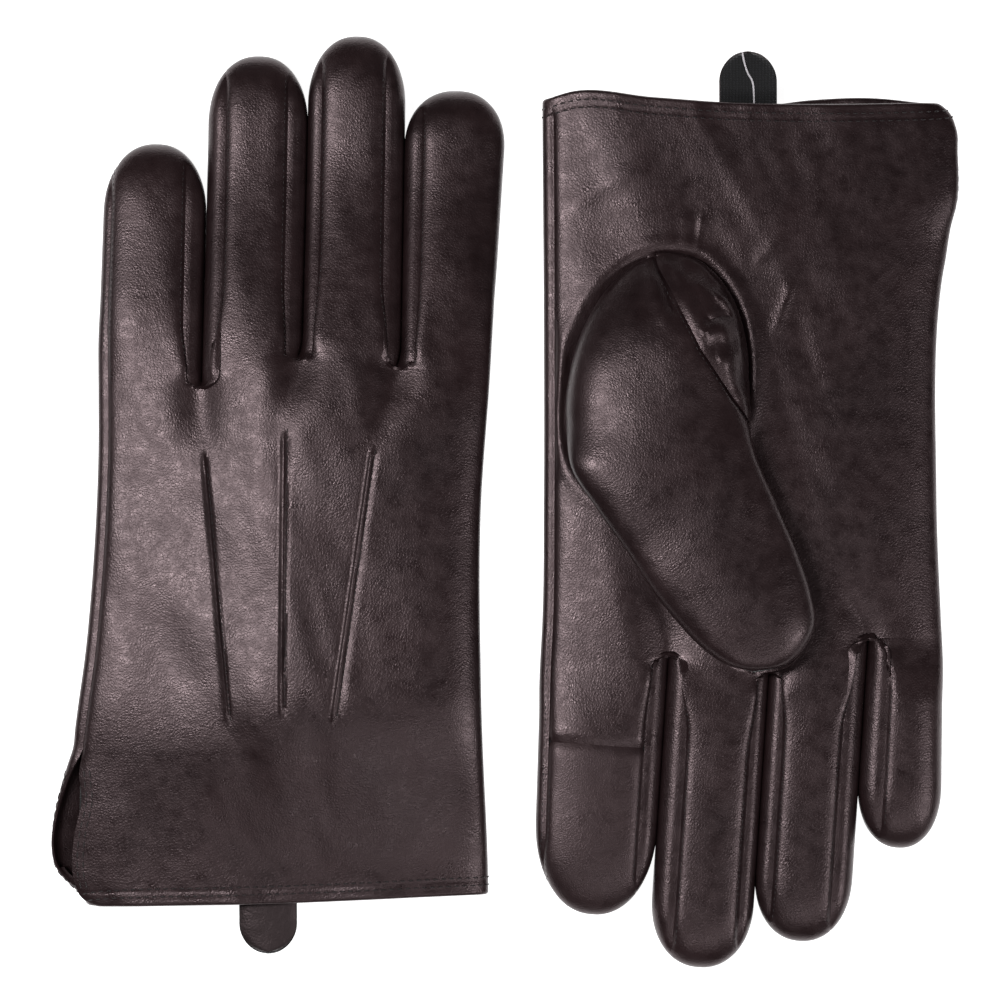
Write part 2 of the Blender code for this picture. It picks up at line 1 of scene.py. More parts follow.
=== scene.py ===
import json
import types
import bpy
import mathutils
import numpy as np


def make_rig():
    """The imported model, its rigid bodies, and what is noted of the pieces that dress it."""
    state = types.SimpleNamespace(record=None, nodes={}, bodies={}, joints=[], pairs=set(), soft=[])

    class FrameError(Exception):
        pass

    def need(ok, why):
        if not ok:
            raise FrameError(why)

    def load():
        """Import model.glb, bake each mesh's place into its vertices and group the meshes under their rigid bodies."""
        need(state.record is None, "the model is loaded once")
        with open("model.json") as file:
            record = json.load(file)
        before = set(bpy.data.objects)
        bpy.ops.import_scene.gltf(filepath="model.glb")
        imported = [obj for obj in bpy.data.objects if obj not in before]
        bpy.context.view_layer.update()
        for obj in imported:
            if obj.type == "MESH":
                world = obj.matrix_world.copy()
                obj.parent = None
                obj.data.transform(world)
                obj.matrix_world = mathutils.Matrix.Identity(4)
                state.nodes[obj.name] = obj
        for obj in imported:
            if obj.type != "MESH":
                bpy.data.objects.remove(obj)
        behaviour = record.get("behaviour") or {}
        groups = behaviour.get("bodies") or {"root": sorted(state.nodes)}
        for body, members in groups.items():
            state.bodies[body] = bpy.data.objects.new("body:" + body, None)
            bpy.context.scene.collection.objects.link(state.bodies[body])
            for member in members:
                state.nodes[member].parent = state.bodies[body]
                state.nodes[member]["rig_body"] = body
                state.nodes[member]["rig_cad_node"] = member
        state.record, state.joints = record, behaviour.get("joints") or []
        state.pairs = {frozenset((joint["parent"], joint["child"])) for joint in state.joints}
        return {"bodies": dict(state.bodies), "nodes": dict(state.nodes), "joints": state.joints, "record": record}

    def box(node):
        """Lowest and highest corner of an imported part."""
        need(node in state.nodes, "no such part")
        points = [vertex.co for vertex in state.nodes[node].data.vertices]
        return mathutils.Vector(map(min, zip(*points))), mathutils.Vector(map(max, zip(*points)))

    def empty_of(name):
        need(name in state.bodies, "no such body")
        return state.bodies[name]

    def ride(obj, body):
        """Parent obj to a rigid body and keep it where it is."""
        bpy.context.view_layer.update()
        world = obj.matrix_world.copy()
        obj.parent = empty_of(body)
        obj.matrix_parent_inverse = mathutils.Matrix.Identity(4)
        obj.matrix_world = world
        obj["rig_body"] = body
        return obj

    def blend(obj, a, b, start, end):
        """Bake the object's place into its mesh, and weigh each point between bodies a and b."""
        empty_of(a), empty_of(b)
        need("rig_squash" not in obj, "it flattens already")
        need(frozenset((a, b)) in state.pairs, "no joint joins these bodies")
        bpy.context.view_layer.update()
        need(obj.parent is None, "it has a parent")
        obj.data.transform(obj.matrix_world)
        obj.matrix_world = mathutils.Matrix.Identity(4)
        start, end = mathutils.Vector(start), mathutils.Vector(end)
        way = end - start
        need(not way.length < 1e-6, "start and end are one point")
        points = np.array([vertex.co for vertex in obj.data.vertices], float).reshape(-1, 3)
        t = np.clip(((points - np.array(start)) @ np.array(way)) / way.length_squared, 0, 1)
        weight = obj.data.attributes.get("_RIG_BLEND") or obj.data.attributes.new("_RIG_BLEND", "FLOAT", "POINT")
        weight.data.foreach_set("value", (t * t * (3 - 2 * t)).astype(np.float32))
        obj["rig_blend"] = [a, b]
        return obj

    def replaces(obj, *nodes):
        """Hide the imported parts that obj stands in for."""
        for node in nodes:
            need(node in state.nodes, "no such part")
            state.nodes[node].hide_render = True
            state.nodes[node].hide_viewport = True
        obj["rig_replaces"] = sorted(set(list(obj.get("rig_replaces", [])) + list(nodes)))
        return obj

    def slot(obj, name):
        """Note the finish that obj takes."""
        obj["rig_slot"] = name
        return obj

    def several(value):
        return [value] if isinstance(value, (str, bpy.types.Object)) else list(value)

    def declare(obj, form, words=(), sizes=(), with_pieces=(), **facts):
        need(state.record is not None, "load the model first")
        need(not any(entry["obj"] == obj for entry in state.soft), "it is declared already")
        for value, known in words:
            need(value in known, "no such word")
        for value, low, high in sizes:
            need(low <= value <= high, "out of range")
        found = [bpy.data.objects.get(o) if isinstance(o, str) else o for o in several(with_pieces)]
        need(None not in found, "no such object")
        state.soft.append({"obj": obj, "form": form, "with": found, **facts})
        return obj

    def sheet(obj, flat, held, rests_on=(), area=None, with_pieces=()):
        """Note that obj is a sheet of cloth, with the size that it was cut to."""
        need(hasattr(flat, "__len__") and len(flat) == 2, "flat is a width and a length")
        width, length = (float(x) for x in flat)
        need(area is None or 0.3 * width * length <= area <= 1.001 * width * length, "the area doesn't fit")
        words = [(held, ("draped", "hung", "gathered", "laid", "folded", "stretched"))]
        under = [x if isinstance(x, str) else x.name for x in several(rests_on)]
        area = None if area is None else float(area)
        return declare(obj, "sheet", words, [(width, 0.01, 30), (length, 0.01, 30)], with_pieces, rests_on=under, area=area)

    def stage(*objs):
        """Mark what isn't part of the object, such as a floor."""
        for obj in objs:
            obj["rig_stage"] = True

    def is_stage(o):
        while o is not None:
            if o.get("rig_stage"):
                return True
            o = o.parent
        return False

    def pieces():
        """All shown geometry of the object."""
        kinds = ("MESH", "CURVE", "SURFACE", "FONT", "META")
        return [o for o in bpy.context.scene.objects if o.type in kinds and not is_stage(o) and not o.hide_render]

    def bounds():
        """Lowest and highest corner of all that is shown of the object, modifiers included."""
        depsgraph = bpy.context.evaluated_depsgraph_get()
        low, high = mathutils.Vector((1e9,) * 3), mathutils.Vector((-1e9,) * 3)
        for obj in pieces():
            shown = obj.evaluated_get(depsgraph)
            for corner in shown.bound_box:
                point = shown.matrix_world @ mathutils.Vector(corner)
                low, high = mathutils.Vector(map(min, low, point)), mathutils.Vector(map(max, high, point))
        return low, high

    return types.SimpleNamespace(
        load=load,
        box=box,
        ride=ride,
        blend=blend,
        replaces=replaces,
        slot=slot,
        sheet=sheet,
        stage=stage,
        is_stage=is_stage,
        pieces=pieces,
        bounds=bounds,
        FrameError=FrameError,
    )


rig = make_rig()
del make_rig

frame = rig.load()
cad_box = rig.bounds()

import json
import math

import bmesh
import bpy
import numpy as np
from mathutils import Vector, noise

MM = 0.001

# ---------------- sizes of the pair, as in the frame

HALF_THICK = 7.0 * MM
THUMB_THICK = 14.0 * MM
THUMB_THICK_PRESSED = 9.2 * MM
THUMB_LIFT = 10.2 * MM
FINGER_REFERENCE = 150 * MM
NAMES = ("little", "ring", "middle", "index")

# the rounded cross-section of hand and fingers
SECTION_POWER = 2.6
HEIGHT_POWER = 3.1
HAND_SEAM_SHARE = 0.955
SLOT_LENGTH = 5.0 * MM
SLOT_ROWS = 30
TIP_POWER = 2.15
TIP_CORNER = 0.86
NEIGHBOURS_TOUCH = 0.5 * MM

# leather and lining
SKIN = 0.8 * MM
TAB_SKIN = 0.7 * MM
LINING_SKIN = 0.6 * MM
FINGER_LINING_INSET = 1.3 * MM
HAND_LINING_INSET = 2.7 * MM
THUMB_LINING_INSET = 2.6 * MM
HAND_LINING_FROM, HAND_LINING_TO = 8.5 * MM, 141 * MM

# the cuff's turned hem and its vent
HEM_DEPTH = 11 * MM
HEM_FOLD = 0.85 * MM
HEM_INNER_ROWS, HEM_FOLD_ROWS = 7, 9
HEM_TURNED_ROWS = HEM_INNER_ROWS + HEM_FOLD_ROWS
HEM_ROWS = np.concatenate([np.linspace(0.4, 6.0, 15), np.linspace(7.0, 12.0, 6)]) * MM
HEM_GROOVES = (1.9 * MM, 4.1 * MM)
HEM_GROOVE_DEPTHS = (0.03 * MM, 0.10 * MM)
VENT_TOP = 41 * MM
VENT_PALM_DROP, VENT_BACK_RISE = -3.4 * MM, 0.8 * MM

# threads: the space from stitch to stitch, and each stitch's length, width and height over the leather
SEAM_STITCH = dict(pitch=1.7 * MM, length=1.0 * MM, width=0.3 * MM, raised=-0.02 * MM)
HEM_STITCH = dict(pitch=2.3 * MM, length=1.5 * MM, width=0.5 * MM)
VENT_STITCH = dict(pitch=2.9 * MM, length=2.1 * MM, width=0.42 * MM)
TUCK_STITCH = dict(pitch=1.9 * MM, length=1.2 * MM, width=0.34 * MM)
FROM_SEAM = 1.15 * MM
FROM_THUMB_SEAM = 1.2 * MM
FROM_VENT = (1.5 * MM, 3.2 * MM)

# the thumb's oval seam in the palm
OVAL_U, OVAL_V = 24.0 * MM, 82.5 * MM
OVAL_ACROSS, OVAL_DOWN, OVAL_UP = 25.4 * MM, 39.0 * MM, 30.0 * MM
OVAL_SKEW = 0.22

# the palm beside that seam, as depth, distance from the seam and width, and how it lies under the thumb
OVAL_TRENCH = (1.0 * MM, 0.0, 1.2 * MM)
OVAL_LIP = (-0.5 * MM, 3.2 * MM, 2.0 * MM)
OVAL_SUNK, OVAL_SUNK_WITHIN = 1.3 * MM, 3 * MM

# the hollow that leads into each crotch
VALLEY_DEPTH, VALLEY_WIDTH, VALLEY_LENGTH, VALLEY_PAST = 2.0 * MM, 5.5 * MM, 26 * MM, 7 * MM

# the leather's soft unevenness: size of a lump, and its height on the hand and on the fingers
SWELLS = (15 * MM, 0.85 * MM, 0.35 * MM)
SOFT_FOLDS = (6.5 * MM, 0.26 * MM, 0.12 * MM)


class Finger:
    """One finger: its sides at the crotches and near its tip, its tip and its bending line, in mm."""

    def __init__(self, base_sides, tip_sides, tip, knuckle, tip_round):
        self.base_sides = np.array(base_sides) * MM
        self.tip_sides = np.array(tip_sides) * MM
        self.tip = tip * MM
        self.knuckle = knuckle * MM
        self.tip_round = tip_round * MM


class Glove:
    """The driving sizes of one glove, in mm. u is across, v from cuff to fingertips, w palm to back."""

    def __init__(self, place, flip, lean, **sizes):
        self.place = np.array(place) * MM
        self.flip = flip
        self.pressed = not flip
        self.lean = math.radians(lean)
        vars(self).update(sizes)

    def world(self, points):
        """Points of the glove's own frame, in the part's frame."""
        return (-points if self.flip else points) + self.place


LEFT = Glove(
    side="left",
    place=(-59.3, -113.0, 7.0),
    flip=False,
    lean=1.0,
    fingers=[
        Finger((-54.2, -24.9), (-53.4, -25.3), 214.0, 170, 20),
        Finger((-24.1, 3.1), (-24.1, 3.0), 238.8, 182, 20),
        Finger((3.9, 30.7), (3.9, 30.3), 244.4, 186, 20),
        Finger((31.5, 56.2), (31.2, 59.8), 229.0, 181, 17),
    ],
    low_edge=[(-20, -62.4), (0, -62.4), (40, -61.6), (75, -57.2), (120, -54.2), (165, -54.2)],
    high_edge=[(-20, 55.6), (0, 55.6), (60, 53.6), (110, 53.5), (150, 56.2), (165, 57.0)],
    crotches={False: [(-24.8, 144.5), (2.5, 152.3), (30.1, 149.8)],
              True: [(-24.8, 151.5), (2.5, 159.5), (30.1, 157.0)]},
    vent={False: [(-9, -56.8), (0, -57.5), (2, -60.8), (6, -63.2), (13, -64.1), (20, -63.4),
                  (30, -61.3), (36, -61.9), (42, -61.5), (60, -59.2)],
          True: [(-9, -53.5), (0, -54.5), (3, -58.0), (6, -62.6), (8, -65.6), (10.5, -67.9), (16, -69.6),
                 (22, -69.2), (30, -67.0), (38, -63.8), (44, -61.2), (60, -59.2)]},
    cuff={palm: [(-70, -1.3), (-58, -1.1), (-3, 0.0), (55, 2.3), (70, 2.5)] for palm in (False, True)},
    shares=[(0.86, 0.645), (0.66, 0.64), (0.74, 0.64), (0.68, 0.86)],
    seeds=(17.7, 41.3),
)
RIGHT = Glove(
    side="right",
    place=(67.3, 112.5, 7.0),
    flip=True,
    lean=3.8,
    fingers=[
        Finger((-57.2, -36.5), (-60.6, -36.5), 210.2, 170, 19),
        Finger((-35.7, -9.2), (-35.7, -9.2), 236.5, 182, 19),
        Finger((-8.4, 19.4), (-8.4, 19.4), 243.9, 186, 19),
        Finger((20.2, 56.0), (20.2, 53.3), 229.0, 181, 26),
    ],
    low_edge=[(-20, -61.0), (0, -61.0), (30, -60.6), (50, -57.0), (110, -55.4), (165, -57.6)],
    high_edge=[(-20, 55.8), (0, 55.8), (60, 55.4), (110, 55.4), (150, 56.0), (165, 57.0)],
    crotches={False: [(-35.9, 143.0), (-7.9, 152.5), (20.4, 148.0)],
              True: [(-35.9, 150.9), (-7.7, 160.5), (20.4, 155.7)]},
    vent={False: [(-9, -54.0), (0, -55.0), (3, -59.0), (8, -61.2), (30, -61.0), (40, -58.7),
                  (60, -56.6)],
          True: [(-9, -50.0), (0, -52.5), (2, -56.6), (7, -60.6), (14, -61.2), (29, -61.0),
                 (35, -59.2), (41, -58.4), (60, -56.6)]},
    cuff={True: [(-70, 0.3), (-60, 0.3), (-15, 0.8), (4, 0.3), (25, -1.2), (47, -3.0), (55.5, -0.8), (70, 0)],
          False: [(-70, 0.6), (-52, -0.2), (-40, -1.6), (-20, -1.2), (-6, 0.6), (25, -1.0), (47, -2.8),
                  (55.5, -0.8), (70, 0)]},
    shares=[(0.86, 0.45), (0.61, 0.68), (0.74, 0.58), (0.72, 0.86)],
    seeds=(3.1, 5.9),
)

# each tuck's end towards the fingers and its end towards the cuff, and how far beside it the thread runs
TUCKS = [((-24.0, 126), (-17.3, 52)), ((-1.4, 132), (-2.1, 54)), ((23.3, 127), (12.4, 52))]
TUCK_SEWN = 0.95

# the tuck's ridge and the foot beside it, as height, place aside and half width in mm, and its sewn trench
TUCK_RIDGE = (0.55, -0.15, 0.6)
TUCK_FOOT = (-0.08, -1.2, 0.5)
TUCK_TRENCH, TRENCH_NEAR, TRENCH_FAR = 0.36, 0.5, 0.28

# where the touch patch is sewn to the index finger's palm side
TOUCH_SEAM = 181.6 * MM

# the white thread on the right tab: places beside the tab's middle and past the cuff
WHITE_THREAD_PATH = [(1.7, 14.2), (1.2, 11.6), (0.2, 8.4), (-1.1, 6.0), (-1.5, 3.2), (-1.7, -1.0)]

# how far before and past a finger's bending line its leather bends, and where the thumb's starts and ends
FINGER_BEND = (-8.5 * MM, 9 * MM)
THUMB_BEND = ((24.0, 84.0), (14.0, 130.0))

# short folds in the leather: start, end, height and half width
PALM_FOLDS = [((15.5, 31), (15.0, 42.5), 0.4, 1.0), ((11.0, 33), (12.6, 42), 0.25, 0.9),
              ((30, 20), (47, 30), 0.35, 1.8), ((-14, 52), (-9, 66), 0.4, 1.5),
              ((51, 62), (50, 84), 0.4, 1.5), ((-4, 45), (-12, 38), 0.3, 1.4)]
THUMB_FOLDS = [((21.0, 48), (18.5, 60), -1.3, 1.5), ((26, 48), (22, 63), 0.8, 1.8),
               ((9, 55), (2.5, 57), 1.3, 1.0), ((11, 62), (3, 60.5), -1.2, 1.2),
               ((12.0, 66), (2.0, 65), 1.1, 1.1), ((6, 74), (0.5, 70), 0.9, 1.2),
               ((4, 82), (-0.5, 78), -0.7, 1.2)]

# the thumb's two outlines in plan, and its rows on the palm and past it
THUMB_INDEX_SIDE = [(49.4, 88.1), (47.8, 103), (40.4, 115), (32, 127), (23.8, 139.4), (13.1, 151.8),
                    (5.0, 157.8), (-3, 160)]
THUMB_PALM_SIDE = [(-1.4, 76.9), (-2.8, 96), (-9, 111.5), (-14.8, 125), (-19, 137.5), (-20, 148),
                   (-13.5, 157.4), (-3, 160)]
THUMB_ROOT_ROWS, THUMB_FREE_ROWS = 34, 84
THUMB_TIP_CROWDING = 1.35
THUMB_LINING_FIRST_ROW = 30
PALM_CLEAR = 0.9 * MM


# ---------------- curves and noise


def smooth(x):
    x = np.clip(x, 0.0, 1.0)
    return x * x * (3 - 2 * x)


def mix(a, b, t):
    return a * (1 - t) + b * t


def through(points, place):
    """A smooth line through (place, value) points in mm, read at a place in metres."""
    x, y = np.array(points, float).T
    slope = np.gradient(y, x)
    at = np.clip(np.asarray(place) / MM, x[0], x[-1])
    k = np.clip(np.searchsorted(x, at) - 1, 0, len(x) - 2)
    h = x[k + 1] - x[k]
    t = (at - x[k]) / h
    first = (1 + 2 * t) * (1 - t) ** 2 * y[k] + t * (1 - t) ** 2 * h * slope[k]
    second = t * t * (3 - 2 * t) * y[k + 1] + t * t * (t - 1) * h * slope[k + 1]
    return (first + second) * MM


def bump_noise(points, cell, seed):
    """Soft noise from -1 to 1, with lumps about one cell wide."""
    flat = points.reshape(-1, 3) / cell + seed
    values = [noise.noise(Vector(p)) for p in flat]
    return np.array(values).reshape(points.shape[:-1])


def across(angle):
    c = np.cos(angle)
    return np.sign(c) * np.abs(c) ** (2 / SECTION_POWER)


def height(angle):
    s = np.sin(angle)
    return np.sign(s) * np.abs(s) ** (2 / HEIGHT_POWER)


def angle_across(share, palm):
    """The section angle at a share of the half width, on the back or on the palm."""
    share = np.clip(share, -1.0, 1.0)
    angle = np.arccos(np.sign(share) * np.abs(share) ** (SECTION_POWER / 2))
    return -angle if palm else angle


def stack(u, v, w):
    return np.stack(np.broadcast_arrays(u, v, w), axis=-1)


def clustered(count, tightness):
    """Shares from 0 to 1, closer together at both ends."""
    x = np.linspace(0, 1, count + 1)
    return x - tightness * np.sin(2 * math.pi * x) / (2 * math.pi)


# ---------------- the glove's surfaces


def lift(glove, u, v):
    """How far the left glove is held up by its own thumb underneath."""
    if not glove.pressed:
        return np.zeros(np.broadcast(u, v).shape)
    along = smooth(v / (60 * MM)) * (1 - smooth((v - 135 * MM) / (80 * MM)))
    to_little = smooth((4 * MM - u) / (44 * MM))
    to_index = smooth((u - 46 * MM) / (30 * MM))
    return THUMB_LIFT * along * (1 - 0.5 * to_little) * (1 - 0.25 * to_index)


def hand_point(glove, angle, v, inset):
    low = through(glove.low_edge, v)
    high = through(glove.high_edge, v)
    u = (low + high) / 2 + ((high - low) / 2 - inset) * across(angle)
    w = (HALF_THICK - inset) * height(angle) + lift(glove, u, v)
    return stack(u, v, w)


def finger_axis(glove, number, share):
    """Centre across and half width of a finger, share of the way from its base to its tip."""
    finger = glove.fingers[number]
    low, high = (mix(finger.base_sides[k], finger.tip_sides[k], share) for k in (0, 1))
    low, high = low - NEIGHBOURS_TOUCH * (number > 0), high + NEIGHBOURS_TOUCH * (number < 3)
    return (low + high) / 2, (high - low) / 2


def finger_length(glove, number):
    finger = glove.fingers[number]
    return (finger.tip - finger.knuckle) / math.cos(glove.lean)


def finger_point(glove, number, angle, along, inset):
    """A point on a finger: along is its distance past the bending line, less than 0 before it."""
    finger, lean = glove.fingers[number], glove.lean
    length = finger_length(glove, number)
    share = (finger.knuckle + along - FINGER_REFERENCE) / (finger.tip - FINGER_REFERENCE)
    centre, half = finger_axis(glove, number, np.clip(share, 0.0, 1.0))
    start = 1 - finger.tip_round / length
    t = np.clip((along / length - start) / (1 - start), 0.0, 1.0)
    narrowed = (1 - t**TIP_POWER) ** (1 / TIP_POWER)
    flattened = (1 - t**2.6) ** (1 / 2.4)
    along = np.where(along > 0, along * (1 - inset / length), along)
    x = (half - inset) * narrowed * across(angle)
    w = (HALF_THICK - inset) * flattened * height(angle)
    if glove.pressed:
        w = w - HALF_THICK * (1 - flattened) * 0.35
    forward = finger.knuckle + along * math.cos(lean)
    v = forward - x * math.sin(lean)
    u = centre + (forward - FINGER_REFERENCE) * math.tan(lean) + x * math.cos(lean)
    return stack(u, v, w + lift(glove, centre, v))


def knuckle_place(glove, number):
    """Where a finger's centre line crosses its bending line, and its half width there."""
    finger = glove.fingers[number]
    share = (finger.knuckle - FINGER_REFERENCE) / (finger.tip - FINGER_REFERENCE)
    centre, half = finger_axis(glove, number, share)
    return centre + (finger.knuckle - FINGER_REFERENCE) * math.tan(glove.lean), half


def guide(glove, line, palm, v):
    """u of the line that runs from the cuff through a tuck to a crotch."""
    crotch_u, crotch_v = glove.crotches[palm][line - 1]
    (top_u, top_v), (low_u, low_v) = TUCKS[line - 1]
    at_cuff = low_u * 0.85
    inner = [(mix(low_v, top_v, t), mix(low_u, top_u, t)) for t in (0, 0.04, 0.5, 0.96, 1)]
    return through([(-20, at_cuff), (0, at_cuff), (low_v * 0.5, mix(at_cuff, low_u, 0.55)), *inner,
                    (crotch_v, crotch_u), (crotch_v + 8, crotch_u)], v)


def outer_edges(number):
    """Whether a finger's low and high edges are the hand's own sides, with no strip between panels."""
    return number == 0, number == 3


def outer_seam_angle(palm, index_side, share=HAND_SEAM_SHARE):
    """The side seams lie towards the back at the little finger and towards the palm at the index."""
    seam = math.acos(share ** (SECTION_POWER / 2))
    if index_side:
        return -seam
    return -math.pi - seam if palm else math.pi - seam


def guide_angles(glove, palm, v):
    """The hand section's angle at each of the five lines that bound the fingers' blocks."""
    low = through(glove.low_edge, v)
    high = through(glove.high_edge, v)
    angles = [np.full(np.shape(v), outer_seam_angle(palm, False))]
    for line in (1, 2, 3):
        share = (guide(glove, line, palm, v) - (low + high) / 2) / ((high - low) / 2)
        angles.append(angle_across(share, palm))
    angles.append(np.full(np.shape(v), outer_seam_angle(palm, True)))
    return angles


def finger_angles(glove, number, palm):
    """The angles of the seams on both sides of a finger's back or palm panel."""
    return [outer_seam_angle(palm, sign > 0, share) if outer else float(angle_across(sign * share, palm))
            for outer, sign, share in zip(outer_edges(number), (-1, 1), glove.shares[number])]


def crotch_line(glove, palm, column):
    """v of the line across the hand through the three crotches. Column runs from 0 to 4."""
    heights = [point[1] for point in glove.crotches[palm]]
    return np.interp(column, [0, 1, 2, 3, 4], [heights[0], *heights, heights[2]]) * MM


def slot_share(past_crotch):
    """How far a slot between fingers has opened, at a distance past its crotch."""
    left = 1 - np.clip(past_crotch / SLOT_LENGTH, 0.0, 1.0)
    return np.sqrt(1 - left * left)


def valley(glove, palm, u, v):
    """The hollows that lead into the crotches, as a depth."""
    depth = 0.0
    for line in (1, 2, 3):
        crotch_v = glove.crotches[palm][line - 1][1] * MM
        aside = (u - guide(glove, line, palm, np.minimum(v, crotch_v))) / VALLEY_WIDTH
        leading = smooth((v - crotch_v + VALLEY_LENGTH) / VALLEY_LENGTH)
        leading = leading * (1 - smooth((v - crotch_v) / VALLEY_PAST))
        depth = depth + VALLEY_DEPTH * np.exp(-aside**2) * leading
    return depth


def tuck_ridge(u, v):
    """The three raised tucks on the back: a thin standing ridge in a shallow trough."""
    rise = 0.0
    for (top_u, top_v), (low_u, low_v) in TUCKS:
        t = np.clip((v / MM - low_v) / (top_v - low_v), 0, 1)
        inside = smooth((v / MM - low_v + 0.6) / 1.6) * smooth((top_v + 0.6 - v / MM) / 1.6)
        aside = (u - mix(low_u, top_u, t) * MM) / MM
        width = np.where(aside < TUCK_SEWN, TRENCH_NEAR, TRENCH_FAR)
        shape = -TUCK_TRENCH * np.exp(-(((aside - TUCK_SEWN) / width) ** 2))
        for high, place, wide in (TUCK_RIDGE, TUCK_FOOT):
            shape = shape + high * np.exp(-(((aside - place) / wide) ** 2))
        rise = rise + shape * MM * inside
    return rise


def oval_distance(u, v):
    """Signed distance to the thumb's oval seam, less than 0 inside it."""
    x = u - OVAL_U
    y = v - OVAL_V - OVAL_SKEW * x
    reach = np.where(y < 0, OVAL_DOWN, OVAL_UP)
    rho = np.sqrt((x / OVAL_ACROSS) ** 2 + (y / reach) ** 2) + 1e-6
    slope_u = (x / OVAL_ACROSS**2 - OVAL_SKEW * y / reach**2) / rho
    slope_v = y / reach**2 / rho
    return (rho - 1) / np.sqrt(slope_u**2 + slope_v**2 + 1)


def worn(glove, point):
    """Leather's soft unevenness: broad swells and finer folds, none of it at the sides."""
    base = lift(glove, point[..., 0], point[..., 1])
    side = np.clip((point[..., 2] - base) / HALF_THICK, -1, 1)
    side = side * np.abs(side)
    slanted = stack(point[..., 0] + 0.32 * point[..., 1], 0.42 * point[..., 1], 0.0)
    fingers = smooth((point[..., 1] - 140 * MM) / (30 * MM))
    for (cell, on_hand, on_fingers), seed in zip((SWELLS, SOFT_FOLDS), glove.seeds):
        point[..., 2] += side * mix(on_hand, on_fingers, fingers) * bump_noise(slanted, cell, seed)
    return point


def along_fold(u, v, start, end, wide):
    """1 along a short fold in the leather, fading to 0 beside it and at its ends. Places are in mm."""
    start, end = np.array(start) * MM, np.array(end) * MM
    way = end - start
    length = np.linalg.norm(way)
    t = ((u - start[0]) * way[0] + (v - start[1]) * way[1]) / length**2
    aside = np.abs((u - start[0]) * way[1] - (v - start[1]) * way[0]) / length
    ends = smooth((t + 0.15) / 0.3) * smooth((1.15 - t) / 0.3)
    return np.exp(-((aside / (wide * MM)) ** 2)) * ends


def shaped_hand(glove, palm, angle, v, inset):
    """The hand's surface with its hollows, its tucks on the back and its thumb seam in the palm."""
    point = hand_point(glove, angle, v, inset)
    u = point[..., 0]
    if palm:
        point[..., 2] += valley(glove, palm, u, v)
        d = oval_distance(u, v)
        for deep, beside, wide in (OVAL_TRENCH, OVAL_LIP):
            point[..., 2] += deep * np.exp(-(((d - beside) / wide) ** 2))
        point[..., 2] += OVAL_SUNK * smooth(-d / OVAL_SUNK_WITHIN)
        for start, end, rise, wide in PALM_FOLDS:
            point[..., 2] -= rise * MM * along_fold(u, v, start, end, wide)
    else:
        point[..., 2] += tuck_ridge(u, v) - valley(glove, palm, u, v)
    return worn(glove, point)


COLUMNS = clustered(26, 0.75)


def panel_grid(glove, palm):
    """A hand panel with its turned hem: from inside the cuff, round the fold and up to the crotches."""
    columns = np.concatenate([k + COLUMNS[(k > 0):] for k in range(4)])[None, :]
    start = crotch_line(glove, palm, columns)
    fold = np.radians(np.linspace(-90, 90, HEM_FOLD_ROWS))
    inner_v = np.linspace(HEM_DEPTH, 2 * HEM_FOLD, HEM_INNER_ROWS)
    near_v = np.concatenate([inner_v, HEM_FOLD * (1 - np.cos(fold)), HEM_FOLD + HEM_ROWS])[:, None]
    shares = np.linspace(0, 1, 118)[1:, None]
    v = np.concatenate([near_v + 0 * start, mix(near_v[-1:], start, shares)])
    inset = np.zeros((len(v), 1))
    inset[:HEM_INNER_ROWS] = 2 * HEM_FOLD
    inset[HEM_INNER_ROWS:HEM_TURNED_ROWS, 0] = HEM_FOLD * (1 - np.sin(fold))
    angles = np.stack(guide_angles(glove, palm, v), axis=0)
    block = np.clip(columns.astype(int), 0, 3)
    c = columns - block
    block = np.broadcast_to(block, v.shape)[None]
    low = np.take_along_axis(angles, block, axis=0)[0]
    high = np.take_along_axis(angles, block + 1, axis=0)[0]
    grid = shaped_hand(glove, palm, mix(low, high, c), v, inset)
    near_vent = np.clip(1 - columns, 0, 1) ** 2
    edge = through(glove.vent[palm], v) - through(glove.low_edge, v)
    grid[..., 0] += edge * near_vent * (1 - smooth((v - VENT_TOP) / (8 * MM)))
    closing = 1 - smooth((v - 24 * MM) / (17 * MM))
    parted = (VENT_PALM_DROP if palm else VENT_BACK_RISE) * (0.4 + 0.6 * smooth(v / (8 * MM)))
    grid[..., 2] += parted * near_vent * closing
    inward = np.where(inset > 0, 0.0, -1.0 if not palm else 1.0)
    for groove, deep in zip(HEM_GROOVES, HEM_GROOVE_DEPTHS):
        grid[..., 2] += inward * deep * np.exp(-(((v - groove) / (0.45 * MM)) ** 2))
    ripple = bump_noise(grid * np.array([1.0, 0.15, 0.0]), 9 * MM, 11.5 + glove.flip)
    grid[..., 1] += through(glove.cuff[palm], grid[..., 0]) * (1 - smooth(v / (45 * MM)))
    grid[..., 2] += 0.35 * MM * ripple * (1 - smooth(v / (14 * MM)))
    return grid


def tip_share(glove, number, along):
    """How far into the rounded tip a place on a finger is, from 0 to 1."""
    length = finger_length(glove, number)
    start = 1 - glove.fingers[number].tip_round / length
    return np.clip((along / length - start) / (1 - start), 0.0, 1.0)


def straight_seam(share, into_tip, palm):
    """The angle of a side seam that runs straight on until it meets the rounded tip's edge."""
    narrowed = (1 - into_tip**TIP_POWER) ** (1 / TIP_POWER)
    return angle_across(share / np.maximum(narrowed, 0.01), palm)


def seam_end(share):
    """How far into the rounded tip a straight side seam meets its edge."""
    return (1 - abs(share) ** TIP_POWER) ** (1 / TIP_POWER)


def slot_rows(start, end):
    """Rows from the crotch to the bending line, closer together at the crotch."""
    return mix(start, end, np.linspace(0, 1, SLOT_ROWS + 1)[:, None] ** 2)


